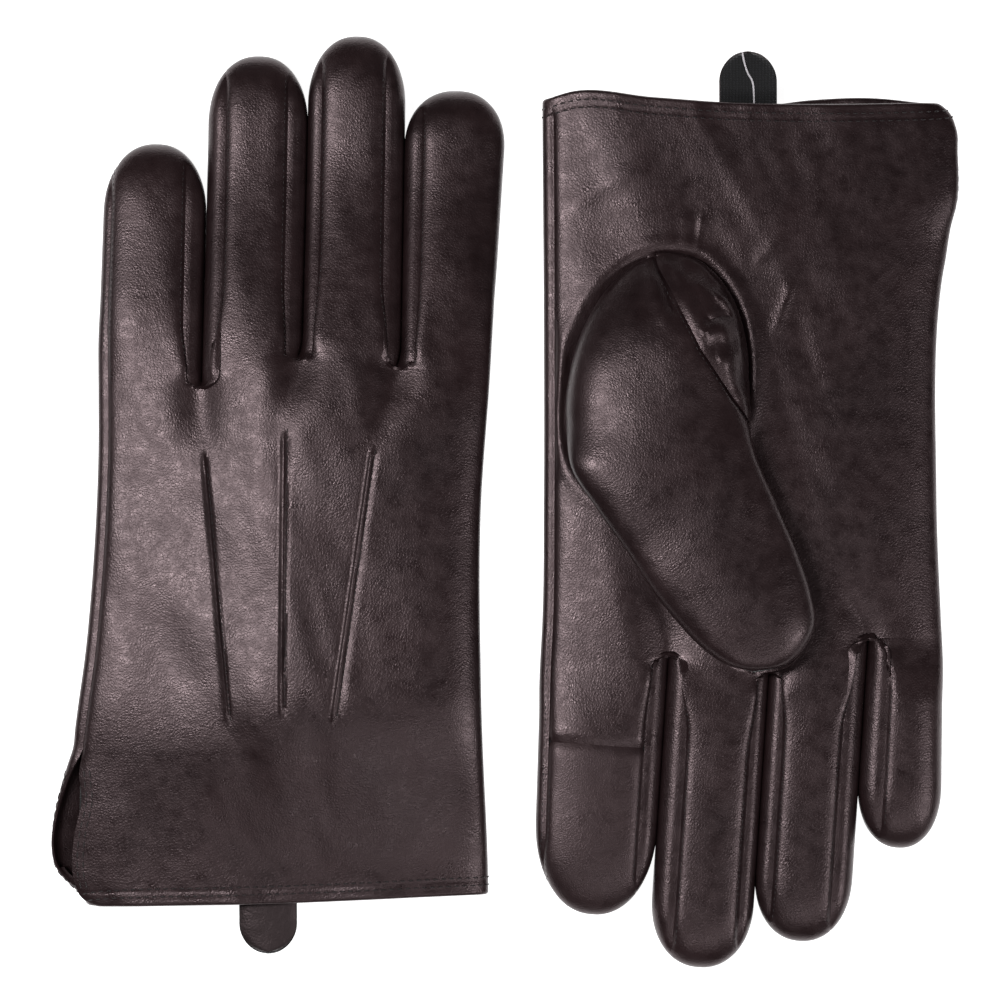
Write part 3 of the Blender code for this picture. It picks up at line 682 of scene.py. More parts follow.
def tip_rows(glove, number):
    """Distances along a finger from its bending line to its tip, closer together round the tip."""
    length = finger_length(glove, number)
    start = 1 - glove.fingers[number].tip_round / length
    straight = np.linspace(0, start, max(int(start * length / (1.5 * MM)), 8))
    turned = start + (1 - start) * np.sin(np.linspace(0, math.pi / 2, 26))[1:] ** (2 / TIP_POWER)
    return np.concatenate([straight, turned]) * length


def knuckle_line(glove, number, angle):
    x = knuckle_place(glove, number)[1] * across(angle)
    return glove.fingers[number].knuckle - x * math.sin(glove.lean)


def finger_root(glove, number, angle, v):
    """The finger's surface before its bending line, at distances v from the cuff."""
    along = (v - knuckle_line(glove, number, angle)) / math.cos(glove.lean)
    return worn(glove, finger_point(glove, number, angle, np.minimum(along, 0.0), 0.0))


def strip_base(glove, number, palm, c):
    """A finger panel from the crotch line to the bending line."""
    start = crotch_line(glove, palm, number + c)[None, :]
    low, high = finger_angles(glove, number, palm)
    angle = mix(low, high, c)[None, :]
    v = slot_rows(start, knuckle_line(glove, number, angle))
    past = v - start
    ends = guide_angles(glove, palm, np.minimum(v, start))
    on_hand = shaped_hand(glove, palm, mix(ends[number], ends[number + 1], c[None, :]), v, 0.0)
    middle = smooth(past / (v[-1:] - start))
    outer_low, outer_high = outer_edges(number)
    edge = np.abs(2 * c - 1) ** 7 * np.where(c < 0.5, not outer_low, not outer_high)
    opened = mix(middle, slot_share(past), edge[None, :])[..., None]
    grid = mix(on_hand, finger_root(glove, number, angle, v), opened)
    grid[..., 1] = v
    return grid


def panel_strip(glove, number, palm):
    """A finger's back or palm strip, from the crotch line to its tip."""
    rows = tip_rows(glove, number)[1:, None]
    into_tip = tip_share(glove, number, rows)
    closing = smooth((into_tip - 0.1) / (TIP_CORNER - 0.1))
    sides = (-math.pi if palm else math.pi, 0.0)
    low, high = [mix(seam, side, closing) if outer else straight_seam(sign * share, into_tip, palm)
                 for outer, sign, share, seam, side in zip(outer_edges(number), (-1, 1), glove.shares[number],
                                                           finger_angles(glove, number, palm), sides)]
    tip = finger_point(glove, number, mix(low, high, COLUMNS[None, :]), rows, 0.0)
    return np.concatenate([strip_base(glove, number, palm, COLUMNS), worn(glove, tip)])


def side_strip(glove, number, high_side):
    """The strip along a finger's side, from the bottom of the crotch to the tip."""
    gap = number if high_side else number - 1
    tau = np.linspace(0, 1, 17)
    share = glove.shares[number][1] if high_side else -glove.shares[number][0]

    def seam_to_seam(into_tip):
        first, last = (straight_seam(share, into_tip, palm) for palm in (False, True))
        return mix(first, last + (0 if high_side else 2 * math.pi), tau[None, :])

    angle = seam_to_seam(0.0)
    ends = []
    for palm in (False, True):
        v = np.array([glove.crotches[palm][gap][1] * MM])
        ends.append(shaped_hand(glove, palm, guide_angles(glove, palm, v)[gap + 1], v, 0.0)[0])
    bottom = mix(ends[0][None, :], ends[1][None, :], tau[:, None])
    v = slot_rows(bottom[None, :, 1], knuckle_line(glove, number, angle))
    opened = slot_share(v - bottom[None, :, 1])
    wall = mix(bottom[None], finger_root(glove, number, angle, v), opened[..., None])
    wall[..., 1] = v
    rows = tip_rows(glove, number)[1:, None]
    into_tip = tip_share(glove, number, rows)
    count = int(np.sum(into_tip < seam_end(share))) + 1
    tip = finger_point(glove, number, seam_to_seam(into_tip[:count]), rows[:count], 0.0)
    return np.concatenate([wall, worn(glove, tip)])


# ---------------- the thumb


def thumb_sides():
    """The thumb's two outlines in plan, row by row, from the top of its oval seam to its tip."""
    q = np.linspace(0, math.pi / 2, THUMB_ROOT_ROWS + 1)[:-1]
    sides = []
    end = len(THUMB_INDEX_SIDE) - 1
    t = end * (1 - (1 - np.linspace(0, 1, THUMB_FREE_ROWS)) ** THUMB_TIP_CROWDING)
    for sign, outline in ((1, THUMB_INDEX_SIDE), (-1, THUMB_PALM_SIDE)):
        x = sign * OVAL_ACROSS * np.sin(q)
        oval = np.stack([OVAL_U + x, OVAL_V + OVAL_SKEW * x - OVAL_DOWN * np.cos(q)], axis=-1)
        places = np.arange(len(outline))
        free = [through(list(zip(places, [p[k] for p in outline])), t * MM) for k in (0, 1)]
        sides.append(np.concatenate([oval, np.stack(free, axis=-1)]))
    return sides


def thumb_rows():
    """Each row's place: 0 to 1 along the root, and 0 to 1 along the free part."""
    root = np.concatenate([np.linspace(0, 1, THUMB_ROOT_ROWS + 1)[:-1], np.ones(THUMB_FREE_ROWS)])
    past = 1 - (1 - np.linspace(0, 1, THUMB_FREE_ROWS)) ** THUMB_TIP_CROWDING
    return root, np.concatenate([np.zeros(THUMB_ROOT_ROWS), past])


def thumb_point(glove, phi, inset):
    """Points of the thumb for angles phi: 180 is the index side, 90 the top, 0 the palm's other side."""
    index_side, palm_side = thumb_sides()
    root, free = thumb_rows()
    thick = THUMB_THICK_PRESSED if glove.pressed else THUMB_THICK
    cap = np.clip((free - 0.55) / 0.45, 0, 1)
    cap = (1 - cap**2.6) ** (1 / 2.2)
    half = thick / 2 * mix(np.sin(root * math.pi / 2) ** 0.8, cap, (root >= 1) * 1.0)
    risen = smooth(free / 0.16)
    top = half * 2 * smooth(root * 1.15) ** 0.5
    level = mix(-1.1 * MM, PALM_CLEAR + thick / 2, risen)
    up = mix(top + 1.1 * MM, half, risen)
    centre = (index_side + palm_side) / 2
    reach = (palm_side - index_side) / 2
    size = np.linalg.norm(reach, axis=1, keepdims=True)
    reach = reach * np.maximum(size - inset, 1e-5) / np.maximum(size, 1e-5)
    sine = height(phi)
    over, under = np.maximum(up - inset, 0)[:, None], np.maximum(half - inset, 0)[:, None]
    rise = level[:, None] + np.where(sine > 0, over, under) * sine
    plan = centre[:, None, :] + reach[:, None, :] * across(phi)[..., None]
    w = -HALF_THICK - rise
    if glove.pressed:
        held = lift(glove, plan[..., 0], plan[..., 1])
        w = -HALF_THICK + held * (1 - rise / (THUMB_THICK_PRESSED + PALM_CLEAR))
    return np.concatenate([plan, w[..., None]], axis=-1)


def seam_phi():
    """The angle of the seam between the thumb's two pieces, row by row: on top at the root, then under."""
    root, free = thumb_rows()
    place = root + free
    share = np.interp(place, [0, 0.3, 0.6, 0.85, 1.0, 1.1], [0.0, 0.1, 0.32, 0.52, 0.72, 1.0])
    under = np.interp(place, [1.05, 1.2, 1.75, 1.95, 2.0], [0, -20, -12, 16, 10])
    return np.arccos(share ** (SECTION_POWER / 2)) + np.radians(under)


def thumb_grid(glove, outer):
    phi = seam_phi()[:, None]
    root, free = thumb_rows()
    under = math.radians(28) * smooth(free / 0.2)[:, None]
    s = clustered(44 if outer else 30, 0.4)[None, :]
    if outer:
        angle = mix(math.pi + under, phi, s)
    else:
        angle = mix(phi, under - math.pi * smooth(free / 0.2)[:, None], s)
    grid = thumb_point(glove, angle, 0.0)
    swell = bump_noise(grid, 15 * MM, 2.2) * 0.55 * MM
    folded = sum(rise * MM * along_fold(grid[..., 0], grid[..., 1], start, end, wide)
                 for start, end, rise, wide in THUMB_FOLDS)
    inside = smooth(s / 0.12) * smooth((1 - s) / 0.12) * (np.sin(angle) > 0)
    if outer:
        on_top = smooth((1 - s) / 0.05) * (np.sin(angle) > 0)
        grid[..., 2] -= swell * np.clip(np.sin(angle), 0, 1) + folded * on_top
        return grid
    creased = 0.3 - np.abs(bump_noise(grid * np.array([1.0, 0.55, 1.0]), 5 * MM, 8.8))
    amount = mix(1.0, 0.3, smooth((root + free - 0.95) / 0.3))[:, None] * inside
    grid[..., 2] -= (swell + creased * 1.6 * MM + folded) * amount
    return grid


# ---------------- finishing a sheet of points


def grid_normals(grid):
    down, side = np.gradient(grid, axis=0), np.gradient(grid, axis=1)
    normals = np.cross(side, down)
    size = np.linalg.norm(normals, axis=-1, keepdims=True)
    return normals / np.maximum(size, 1e-12)


def run_along(points, axis):
    """The distance along a grid's points, from 0 at its first edge."""
    run = np.cumsum(np.linalg.norm(np.diff(points, axis=axis), axis=-1), axis=axis)
    return np.concatenate([np.zeros_like(points.take([0], axis)[..., 0]), run], axis=axis)


def outward_normals(grid, outward):
    normals = grid_normals(grid)
    middle = normals[normals.shape[0] // 2, normals.shape[1] // 2]
    return normals if np.dot(middle, outward) > 0 else -normals


def seam_directions(glove, grid, inboard):
    """Which way each long edge of a sheet turns in, row by row, and how far it has got past a crotch."""
    directions = []
    for column, side in zip((0, -1), inboard):
        edge = grid[:, column]
        depth = lift(glove, edge[:, 0], edge[:, 1]) - edge[:, 2]
        way = stack(side * 3.2 * MM, 0.0, depth)
        way = way / np.linalg.norm(way, axis=1, keepdims=True)
        share = np.clip(np.abs(depth) / (4 * MM), 0.35, 1.0) * abs(side)
        directions.append(way * share[:, None])
    return directions


def roll_edges(grid, directions, fades=(1.0, 1.0), depth=0.85 * MM, width=1.2 * MM):
    """Lets the long edges of a sheet turn down into their seams."""
    run = run_along(grid, 1)
    total = run[:, -1:]
    rolled = grid.copy()
    for distance, way, fade in zip((run, total - run), directions, fades):
        drop = np.exp(-((distance / width) ** 1.5))
        drop = np.clip(drop - np.exp(-((total / width / 2) ** 1.5)), 0, 1)
        drop = drop * np.clip(total / (3 * MM), 0, 1) * np.reshape(fade, (-1, 1))
        edge = (distance < 1e-9) & (total > 0)
        drop = np.where(edge, np.reshape(fade, (-1, 1)), drop)
        rolled += drop[..., None] * depth * way[:, None, :]
    return rolled


def roll_end(grid, outward, last, depth=0.6 * MM, width=1.0 * MM):
    """Lets one short end of a sheet turn down into a seam across it."""
    along = run_along(grid, 0)
    distance = along[-1:] - along if last else along
    return grid - outward_normals(grid, outward) * (np.exp(-((distance / width) ** 1.5)) * depth)[..., None]


def deselect():
    bpy.ops.object.select_all(action="DESELECT")


def sheet_piece(glove, name, grid, outward, material, thickness):
    """A sheet of leather or cloth laid on a grid of points, with its thickness on the inside."""
    rows, columns = grid.shape[:2]
    deselect()
    bpy.ops.mesh.primitive_grid_add(x_subdivisions=columns - 1, y_subdivisions=rows - 1, size=1)
    piece = bpy.context.object
    piece.name = piece.data.name = f"{glove.side}_{name}"
    piece.data.vertices.foreach_set("co", glove.world(grid).reshape(-1))
    piece.data.update()
    outward = -np.array(outward) if glove.flip else np.array(outward)
    bm = bmesh.new()
    bm.from_mesh(piece.data)
    bm.faces.ensure_lookup_table()
    middle = bm.faces[(rows // 2) * (columns - 1) + columns // 2]
    middle.normal_update()
    if middle.normal.dot(Vector(outward)) < 0:
        bmesh.ops.reverse_faces(bm, faces=bm.faces[:])
    bmesh.ops.remove_doubles(bm, verts=bm.verts[:], dist=1e-6)
    bm.to_mesh(piece.data)
    bm.free()
    wall = piece.modifiers.new("thickness", "SOLIDIFY")
    wall.thickness = thickness
    wall.offset = -1
    wall.use_even_offset = False
    bpy.ops.object.modifier_apply(modifier=wall.name)
    bpy.ops.object.shade_smooth()
    piece.data.set_sharp_from_angle(angle=math.radians(48))
    piece.data.materials.clear()
    piece.data.materials.append(material)
    return piece


# ---------------- seams sewn with thread


def resampled(line, pitch):
    """Points at an even pitch along a line, with whatever else each point carries."""
    run = run_along(line[:, :3], 0)
    places = np.arange(pitch / 2, run[-1], pitch)
    return np.stack([np.interp(places, run, line[:, k]) for k in range(line.shape[1])], axis=-1)


def line_beside(grid, outward, distance, far=False, across_rows=True):
    """A line over the sheet at a distance from one edge, as points and normals."""
    both = np.concatenate([grid, outward_normals(grid, outward)], axis=-1)
    if not across_rows:
        both = both.transpose(1, 0, 2)
    if far:
        both = both[:, ::-1]
    run = run_along(both[..., :3], 1)
    line = [[np.interp(distance, run[k], both[k, :, j]) for j in range(6)] for k in range(len(both))]
    return np.array(line)


def stitch_shape():
    """One stitch: a short rounded bar with a dip at each end, 1 long and 1 thick."""
    deselect()
    bpy.ops.mesh.primitive_uv_sphere_add(segments=6, ring_count=5, radius=0.5)
    ball = bpy.context.object
    points = np.array([v.co[:] for v in ball.data.vertices])
    faces = [tuple(p.vertices) for p in ball.data.polygons]
    bpy.ops.object.delete()
    points = points[:, [2, 0, 1]]
    points[:, 0] = np.sign(points[:, 0]) * np.abs(points[:, 0] * 2) ** 0.7 / 2
    return points, faces


STITCH_POINTS, STITCH_FACES = stitch_shape()


def stitches(glove, name, lines, pitch, length, width, raised=0.05 * MM):
    """Rows of stitches along lines of points and normals, as one piece."""
    points, faces = [], []
    for line in lines:
        row = resampled(line, pitch)
        if len(row) < 2:
            continue
        tangent = np.gradient(row[:, :3], axis=0)
        tangent /= np.linalg.norm(tangent, axis=1, keepdims=True)
        normal = row[:, 3:] - tangent * np.sum(tangent * row[:, 3:], axis=1, keepdims=True)
        normal /= np.linalg.norm(normal, axis=1, keepdims=True)
        side = np.cross(tangent, normal)
        for k in range(len(row)):
            start = len(points) * len(STITCH_POINTS)
            middle = row[k, :3] + normal[k] * raised
            shape = STITCH_POINTS * np.array([length, width, width * 0.8])
            placed = shape[:, :1] * tangent[k] + shape[:, 1:2] * side[k] + shape[:, 2:] * normal[k]
            points.append(placed + middle)
            faces += [tuple(i + start for i in face) for face in STITCH_FACES]
    mesh = bpy.data.meshes.new(f"{glove.side}_{name}")
    mesh.from_pydata(glove.world(np.concatenate(points)).tolist(), [], faces)
    piece = bpy.data.objects.new(mesh.name, mesh)
    bpy.context.collection.objects.link(piece)
    bm = bmesh.new()
    bm.from_mesh(mesh)
    bmesh.ops.recalc_face_normals(bm, faces=bm.faces[:])
    bm.to_mesh(mesh)
    bm.free()
    mesh.shade_smooth()
    mesh.materials.append(THREAD)
    return piece


# ---------------- materials

# sizes of the marks on each surface; strands, dust and fluff are drawn coarser than real, so that they show
RUBBED_SPOT = 4.348 * MM
CLOUD = 23.81 * MM
CREASE = 3.333 * MM
FLUFF = 0.385 * MM
STRAND = 0.667 * MM
DUST = 0.556 * MM
PAPER_FIBRE = 11.1 * MM


def colour(code):
    """An sRGB hex colour as linear RGBA."""
    values = [int(code[k:k + 2], 16) / 255 for k in (1, 3, 5)]
    return [v / 12.92 if v <= 0.04045 else ((v + 0.055) / 1.055) ** 2.4 for v in values] + [1.0]


def add(tree, kind, settings=None, **links):
    """Adds a node, sets its properties and its inputs by name or number, and links the others."""
    node = tree.nodes.new("ShaderNode" + kind)
    for key, value in (settings or {}).items():
        if isinstance(key, int) or key in node.inputs:
            node.inputs[key].default_value = value
        else:
            setattr(node, key, value)
    for key, socket in links.items():
        tree.links.new(socket, node.inputs[int(key[1:]) if key[1:].isdigit() else key])
    return node


def new_material(name):
    """A new material with an empty node tree, and the piece's own coordinates."""
    material = bpy.data.materials.new(name)
    material.use_nodes = True
    tree = material.node_tree
    tree.nodes.clear()
    return material, tree, add(tree, "TexCoord").outputs["Object"]


def ramp(tree, factor, stops):
    node = add(tree, "ValToRGB", Fac=factor)
    for stop, (place, code) in zip(node.color_ramp.elements, stops):
        stop.position = place
        stop.color = colour(code)
    return node.outputs["Color"]


def leather_material(name, dark, light, grain, rough, crease):
    """Finished sheepskin: a pebbled grain under a soft shine, paler where it is stretched or rubbed."""
    material, tree, place = new_material(name)
    cells = add(tree, "TexVoronoi", {"feature": "DISTANCE_TO_EDGE", "Scale": 1 / grain}, Vector=place)
    fine = add(tree, "TexNoise", {"Scale": 1.9 / grain, "Detail": 3.0, "Roughness": 0.6}, Vector=place)
    rubbed = add(tree, "TexNoise", {"Scale": 1 / RUBBED_SPOT, "Detail": 4.0, "Roughness": 0.62}, Vector=place)
    cloudy = add(tree, "TexNoise", {"Scale": 1 / CLOUD, "Detail": 3.0, "Roughness": 0.55}, Vector=place)
    worn_places = add(tree, "Math", {"operation": "MULTIPLY_ADD", 1: 0.45},
                      i0=rubbed.outputs["Fac"], i2=cloudy.outputs["Fac"])
    tint = ramp(tree, worn_places.outputs["Value"], [(0.45, dark), (0.95, light)])
    shine = add(tree, "MapRange", {"From Min": 0.3, "From Max": 0.7, "To Min": rough - 0.06,
                                   "To Max": rough + 0.09}, Value=rubbed.outputs["Fac"])
    creases = add(tree, "TexNoise", {"Scale": 1 / CREASE, "Detail": 4.0, "Roughness": 0.55,
                                     "Distortion": 0.4}, Vector=place)
    folds = add(tree, "Bump", {"Strength": crease, "Distance": 0.5 * MM}, Height=creases.outputs["Fac"])
    pebbles = add(tree, "MapRange", {"From Min": 0.0, "From Max": 0.3}, Value=cells.outputs["Distance"])
    grainy = add(tree, "Bump", {"Strength": 0.5, "Distance": 0.05 * MM},
                 Height=pebbles.outputs["Result"], Normal=folds.outputs["Normal"])
    relief = add(tree, "Bump", {"Strength": 0.35, "Distance": 0.05 * MM},
                 Height=fine.outputs["Fac"], Normal=grainy.outputs["Normal"])
    shader = add(tree, "BsdfPrincipled", {"Specular IOR Level": 0.5, "Specular Tint": colour("#ffe4e8")},
                 **{"Base Color": tint}, Roughness=shine.outputs["Result"], Normal=relief.outputs["Normal"])
    add(tree, "OutputMaterial", Surface=shader.outputs["BSDF"])
    return material


def knit_material(name, dark, light, rib):
    """Fine rib-knit lining: rows of small loops, matt and slightly furry."""
    material, tree, place = new_material(name)
    ribs, loops = (add(tree, "TexWave", {"Scale": 1 / rib / spread, "bands_direction": way, "Distortion": bent,
                                         "Detail": 1.0, "Detail Scale": 4.0}, Vector=place).outputs["Fac"]
                   for way, spread, bent in (("X", 3.2, 1.5), ("Y", 2.4, 2.0)))
    fluff = add(tree, "TexNoise", {"Scale": 1 / FLUFF, "Detail": 3.0}, Vector=place)
    both = add(tree, "Math", {"operation": "MULTIPLY"}, i0=ribs, i1=loops)
    knit = add(tree, "Math", {"operation": "MULTIPLY_ADD", 1: 0.5}, i0=fluff.outputs["Fac"],
               i2=both.outputs["Value"]).outputs["Value"]
    relief = add(tree, "Bump", {"Strength": 0.8, "Distance": 0.25 * MM}, Height=knit)
    shader = add(tree, "BsdfPrincipled", {"Roughness": 0.92, "Sheen Weight": 0.25},
                 **{"Base Color": ramp(tree, knit, [(0.2, dark), (0.95, light)])},
                 Normal=relief.outputs["Normal"])
    add(tree, "OutputMaterial", Surface=shader.outputs["BSDF"])
    return material


def thread_material(name, dark, light, rough):
    """Twisted polyester thread: fine slanting strands with a dull gleam."""
    material, tree, place = new_material(name)
    strands = add(tree, "TexWave", {"Scale": 1 / STRAND, "bands_direction": "DIAGONAL", "Distortion": 1.0},
                  Vector=place).outputs["Fac"]
    dust = add(tree, "TexNoise", {"Scale": 1 / DUST, "Detail": 2.0}, Vector=place)
    shade = add(tree, "Math", {"operation": "MULTIPLY"}, i0=strands, i1=dust.outputs["Fac"])
    relief = add(tree, "Bump", {"Strength": 0.6, "Distance": 0.08 * MM}, Height=strands)
    shader = add(tree, "BsdfPrincipled", {"Roughness": rough},
                 **{"Base Color": ramp(tree, shade.outputs["Value"], [(0.1, dark), (0.6, light)])},
                 Normal=relief.outputs["Normal"])
    add(tree, "OutputMaterial", Surface=shader.outputs["BSDF"])
    return material


def floor_material():
    """Matt white paper sweep, lit evenly."""
    material, tree, place = new_material("white_paper_floor")
    fibres = add(tree, "TexNoise", {"Scale": 1 / PAPER_FIBRE, "Detail": 4.0}, Vector=place)
    tint = ramp(tree, fibres.outputs["Fac"], [(0.3, "#f6f6f6"), (0.7, "#ffffff")])
    shader = add(tree, "BsdfPrincipled", {"Roughness": 0.9, "Specular IOR Level": 0.1,
                                          "Emission Color": colour("#ffffff"), "Emission Strength": 0.95},
                 **{"Base Color": tint})
    add(tree, "OutputMaterial", Surface=shader.outputs["BSDF"])
    return material


LEATHER = leather_material("dark_brown_sheepskin", "#180f10", "#261a1b", 0.8 * MM, 0.32, 0.16)
PATCH = leather_material("conductive_dark_brown_leather", "#1f1516", "#2b1f20", 0.65 * MM, 0.36, 0.14)
TAB = leather_material("grained_dark_brown_tab_leather", "#0b0707", "#130c0c", 1.0 * MM, 0.5, 0.5)
LINING = knit_material("black_rib_knit_lining", "#050506", "#16161a", 0.9 * MM)
THREAD = thread_material("dark_brown_thread", "#120c0d", "#372b2d", 0.5)
WHITE_THREAD = thread_material("white_thread", "#c9c3c9", "#f4f1f5", 0.6)
SLOTS = {LEATHER: "dark_brown_leather", PATCH: "touch_patch_leather", TAB: "tab_leather",
         LINING: "black_lining"}


# ---------------- one glove, piece by piece


def up(palm):
    return (0, 0, -1) if palm else (0, 0, 1)


def flat_size(grid):
    """The size of the flat piece of leather that this sheet was cut from, and its area."""
    down = np.linalg.norm(np.diff(grid, axis=0), axis=-1).sum(axis=0).max()
    side = np.linalg.norm(np.diff(grid, axis=1), axis=-1).sum(axis=1).max()
    a = grid[1:, 1:] - grid[:-1, :-1]
    b = grid[1:, :-1] - grid[:-1, 1:]
    area = np.linalg.norm(np.cross(a, b), axis=-1).sum() / 2
    return (max(side, 0.01), max(down, 0.01)), area


def declare(piece, grid, held, rests_on, with_pieces=()):
    size, area = flat_size(grid)
    area = min(area, size[0] * size[1])
    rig.sheet(piece, flat=size, held=held, rests_on=rests_on, area=area, with_pieces=with_pieces)


def lay(glove, name, grid, outward, material, nodes, thickness=SKIN):
    """A sheet in its material, in the place of its own nodes."""
    piece = sheet_piece(glove, name, grid, outward, material, thickness)
    if nodes:
        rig.replaces(piece, *[f"{glove.side}_{node}" for node in nodes])
    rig.slot(piece, SLOTS[material])
    return piece


def bend_with(glove, piece, number):
    """The piece follows the hand up to the finger's bending line, and the finger past it."""
    finger = glove.fingers[number]
    centre = knuckle_place(glove, number)[0]
    lean = np.array([math.sin(glove.lean), math.cos(glove.lean), 0.0])
    at = np.array([centre, finger.knuckle, 0.0])
    ends = [glove.world(at + lean * step) for step in FINGER_BEND]
    hand, bending = f"{glove.side}_hand", f"{glove.side}_{NAMES[number]}_finger"
    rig.blend(piece, hand, bending, start=ends[0], end=ends[1])


def unfold_with(glove, piece):
    """The thumb follows the hand at its oval seam, and unfolds past it."""
    ends = [glove.world(np.array([u, v, 0.0]) * MM) for u, v in THUMB_BEND]
    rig.blend(piece, f"{glove.side}_hand", f"{glove.side}_thumb", start=ends[0], end=ends[1])


def slot_fades(glove, number, grid, ends, outer=(False, False)):
    """How far each long edge is rolled: 0 at a slot's bottom, 1 past it, and 0 where its seam ends."""
    into_tip = tip_share(glove, number, tip_rows(glove, number)[1:])
    into_tip = np.concatenate([np.zeros(SLOT_ROWS + 1), into_tip])[:len(grid)]
    fades = []
    for column, end, outside in zip((0, -1), ends, outer):
        past = smooth((grid[:, column, 1] - grid[0, column, 1]) / (2.5 * MM))
        at_tip = 1 - smooth((into_tip - 0.7 * end) / (0.3 * end))
        fades.append(at_tip if outside else past * at_tip)
    return fades


def rolled_panel(glove, grid):
    """A hand panel whose two side seams roll in, past the vent on the little finger's side."""
    fades = [smooth((grid[:, 0, 1] - 36 * MM) / (8 * MM)), smooth((grid[:, -1, 1] - 1 * MM) / (4 * MM))]
    return roll_edges(grid, seam_directions(glove, grid, (1, -1)), fades)


def build_panels(glove):
    hand = f"{glove.side}_hand"
    for palm in (False, True):
        name = "palm_panel" if palm else "back_panel"
        grid = rolled_panel(glove, panel_grid(glove, palm))
        piece = lay(glove, name + "_leather", grid, up(palm), LEATHER, [name])
        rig.ride(piece, hand)
        shown = grid[HEM_TURNED_ROWS - 1:]
        rows = [line_beside(shown, up(palm), d, across_rows=False)[3:-3] for d in HEM_GROOVES]
        added = [stitches(glove, name + "_hem_stitches", rows, **HEM_STITCH)]
        edge = shown[(shown[:, 0, 1] > 3.5 * MM) & (shown[:, 0, 1] < 38 * MM)]
        rows = [line_beside(edge, up(palm), d) for d in FROM_VENT]
        added.append(stitches(glove, name + "_vent_stitches", rows, **VENT_STITCH))
        if not palm:
            added.append(tuck_stitches(glove, grid))
        for sewn in added:
            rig.ride(sewn, hand)
        declare(piece, grid, "stretched", f"{glove.side}_hand_lining_cloth", added)


def tuck_stitches(glove, grid):
    """A row of small stitches along the foot of each tuck."""
    lines = []
    normals = outward_normals(grid, up(False))
    for (top_u, top_v), (low_u, low_v) in TUCKS:
        line = []
        for row in range(HEM_TURNED_ROWS, len(grid)):
            v = grid[row, :, 1].mean() / MM
            if not low_v < v < top_v:
                continue
            t = (v - low_v) / (top_v - low_v)
            u = (mix(low_u, top_u, t) + TUCK_SEWN) * MM
            order = grid[row, :, 0]
            values = np.concatenate([grid[row], normals[row]], axis=-1)
            line.append([np.interp(u, order, values[:, k]) for k in range(6)])
        lines.append(np.array(line))
    return stitches(glove, "tuck_stitches", lines, **TUCK_STITCH)


def build_finger(glove, number):
    side, name = glove.side, NAMES[number]
    lining = build_finger_lining(glove, number)
    outer = outer_edges(number)
    ends = [1.0 if outside else seam_end(share) for outside, share in zip(outer, glove.shares[number])]
    for palm in (False, True):
        grid = panel_strip(glove, number, palm)
        fades = slot_fades(glove, number, grid, ends, outer)
        grid = roll_edges(grid, seam_directions(glove, grid, (1, -1)), fades)
        part = "palm" if palm else "back"
        pieces = [(part, grid, LEATHER, [f"{name}_{part}"])]
        if palm and number == 3:
            cut = int(np.argmin(np.abs(grid[:, COLUMNS.size // 2, 1] - TOUCH_SEAM)))
            base, patch = roll_end(grid[:cut + 1], up(palm), True), roll_end(grid[cut:], up(palm), False)
            pieces = [("palm_base", base, LEATHER, []), ("touch_patch", patch, PATCH, ["index_touch_patch"])]
        for label, part, material, nodes in pieces:
            piece = lay(glove, f"{name}_{label}_leather", part, up(palm), material, nodes)
            bend_with(glove, piece, number)
            rows = [line_beside(part[6:-14], up(palm), FROM_SEAM, far=far) for far in (False, True)]
            sewn = stitches(glove, f"{name}_{label}_leather_stitches", rows, **SEAM_STITCH)
            bend_with(glove, sewn, number)
            declare(piece, part, "stretched", lining.name, [sewn])
    for high_side, outside in enumerate(outer):
        if not outside:
            build_side(glove, number, high_side, lining)


def build_side(glove, number, high_side, lining):
    """The strip let in along a finger's side, which also covers its half of the fork at the crotch."""
    name = NAMES[number]
    other = NAMES[number + 1 if high_side else number - 1]
    grid = side_strip(glove, number, high_side)
    inboard = -1 if high_side else 1
    fades = slot_fades(glove, number, grid, [seam_end(glove.shares[number][high_side])] * 2)
    grid = roll_edges(grid, seam_directions(glove, grid, (inboard, inboard)), fades)
    nodes = [f"{name}_side_to_{other}"] + [f"fork_{name}_{other}"] * high_side
    piece = lay(glove, f"{name}_side_to_{other}_leather", grid, (-inboard, 0, 0), LEATHER, nodes)
    bend_with(glove, piece, number)
    declare(piece, grid, "stretched", lining.name)


def build_finger_lining(glove, number):
    name = NAMES[number]
    phi = np.linspace(-math.pi, math.pi, 33)[None, :]
    along = np.concatenate([np.linspace(-9 * MM, 0, 10)[:-1], tip_rows(glove, number)[::2]])
    along[-1] = finger_length(glove, number)
    grid = finger_point(glove, number, phi, along[:, None], FINGER_LINING_INSET)
    piece = lay(glove, f"{name}_lining_cloth", grid, up(False), LINING, [f"{name}_lining"], LINING_SKIN)
    bend_with(glove, piece, number)
    declare(piece, grid, "stretched", f"{glove.side}_hand_lining_cloth")
    return piece


def build_hand_lining(glove):
    phi = np.linspace(-math.pi, math.pi, 121)[None, :]
    v = np.linspace(HAND_LINING_FROM, HAND_LINING_TO, 90)[:, None]
    grid = hand_point(glove, phi, v, HAND_LINING_INSET)
    folds = bump_noise(grid * np.array([1, 0.5, 1]), 10 * MM, 4.0) * 0.4 * MM
    grid[..., 2] += folds * np.sign(grid[..., 2] - lift(glove, grid[..., 0], grid[..., 1])) * -1
    piece = lay(glove, "hand_lining_cloth", grid, up(False), LINING, ["hand_lining"], LINING_SKIN)
    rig.ride(piece, f"{glove.side}_hand")
    declare(piece, grid, "stretched", f"{glove.side}_palm_panel_leather")


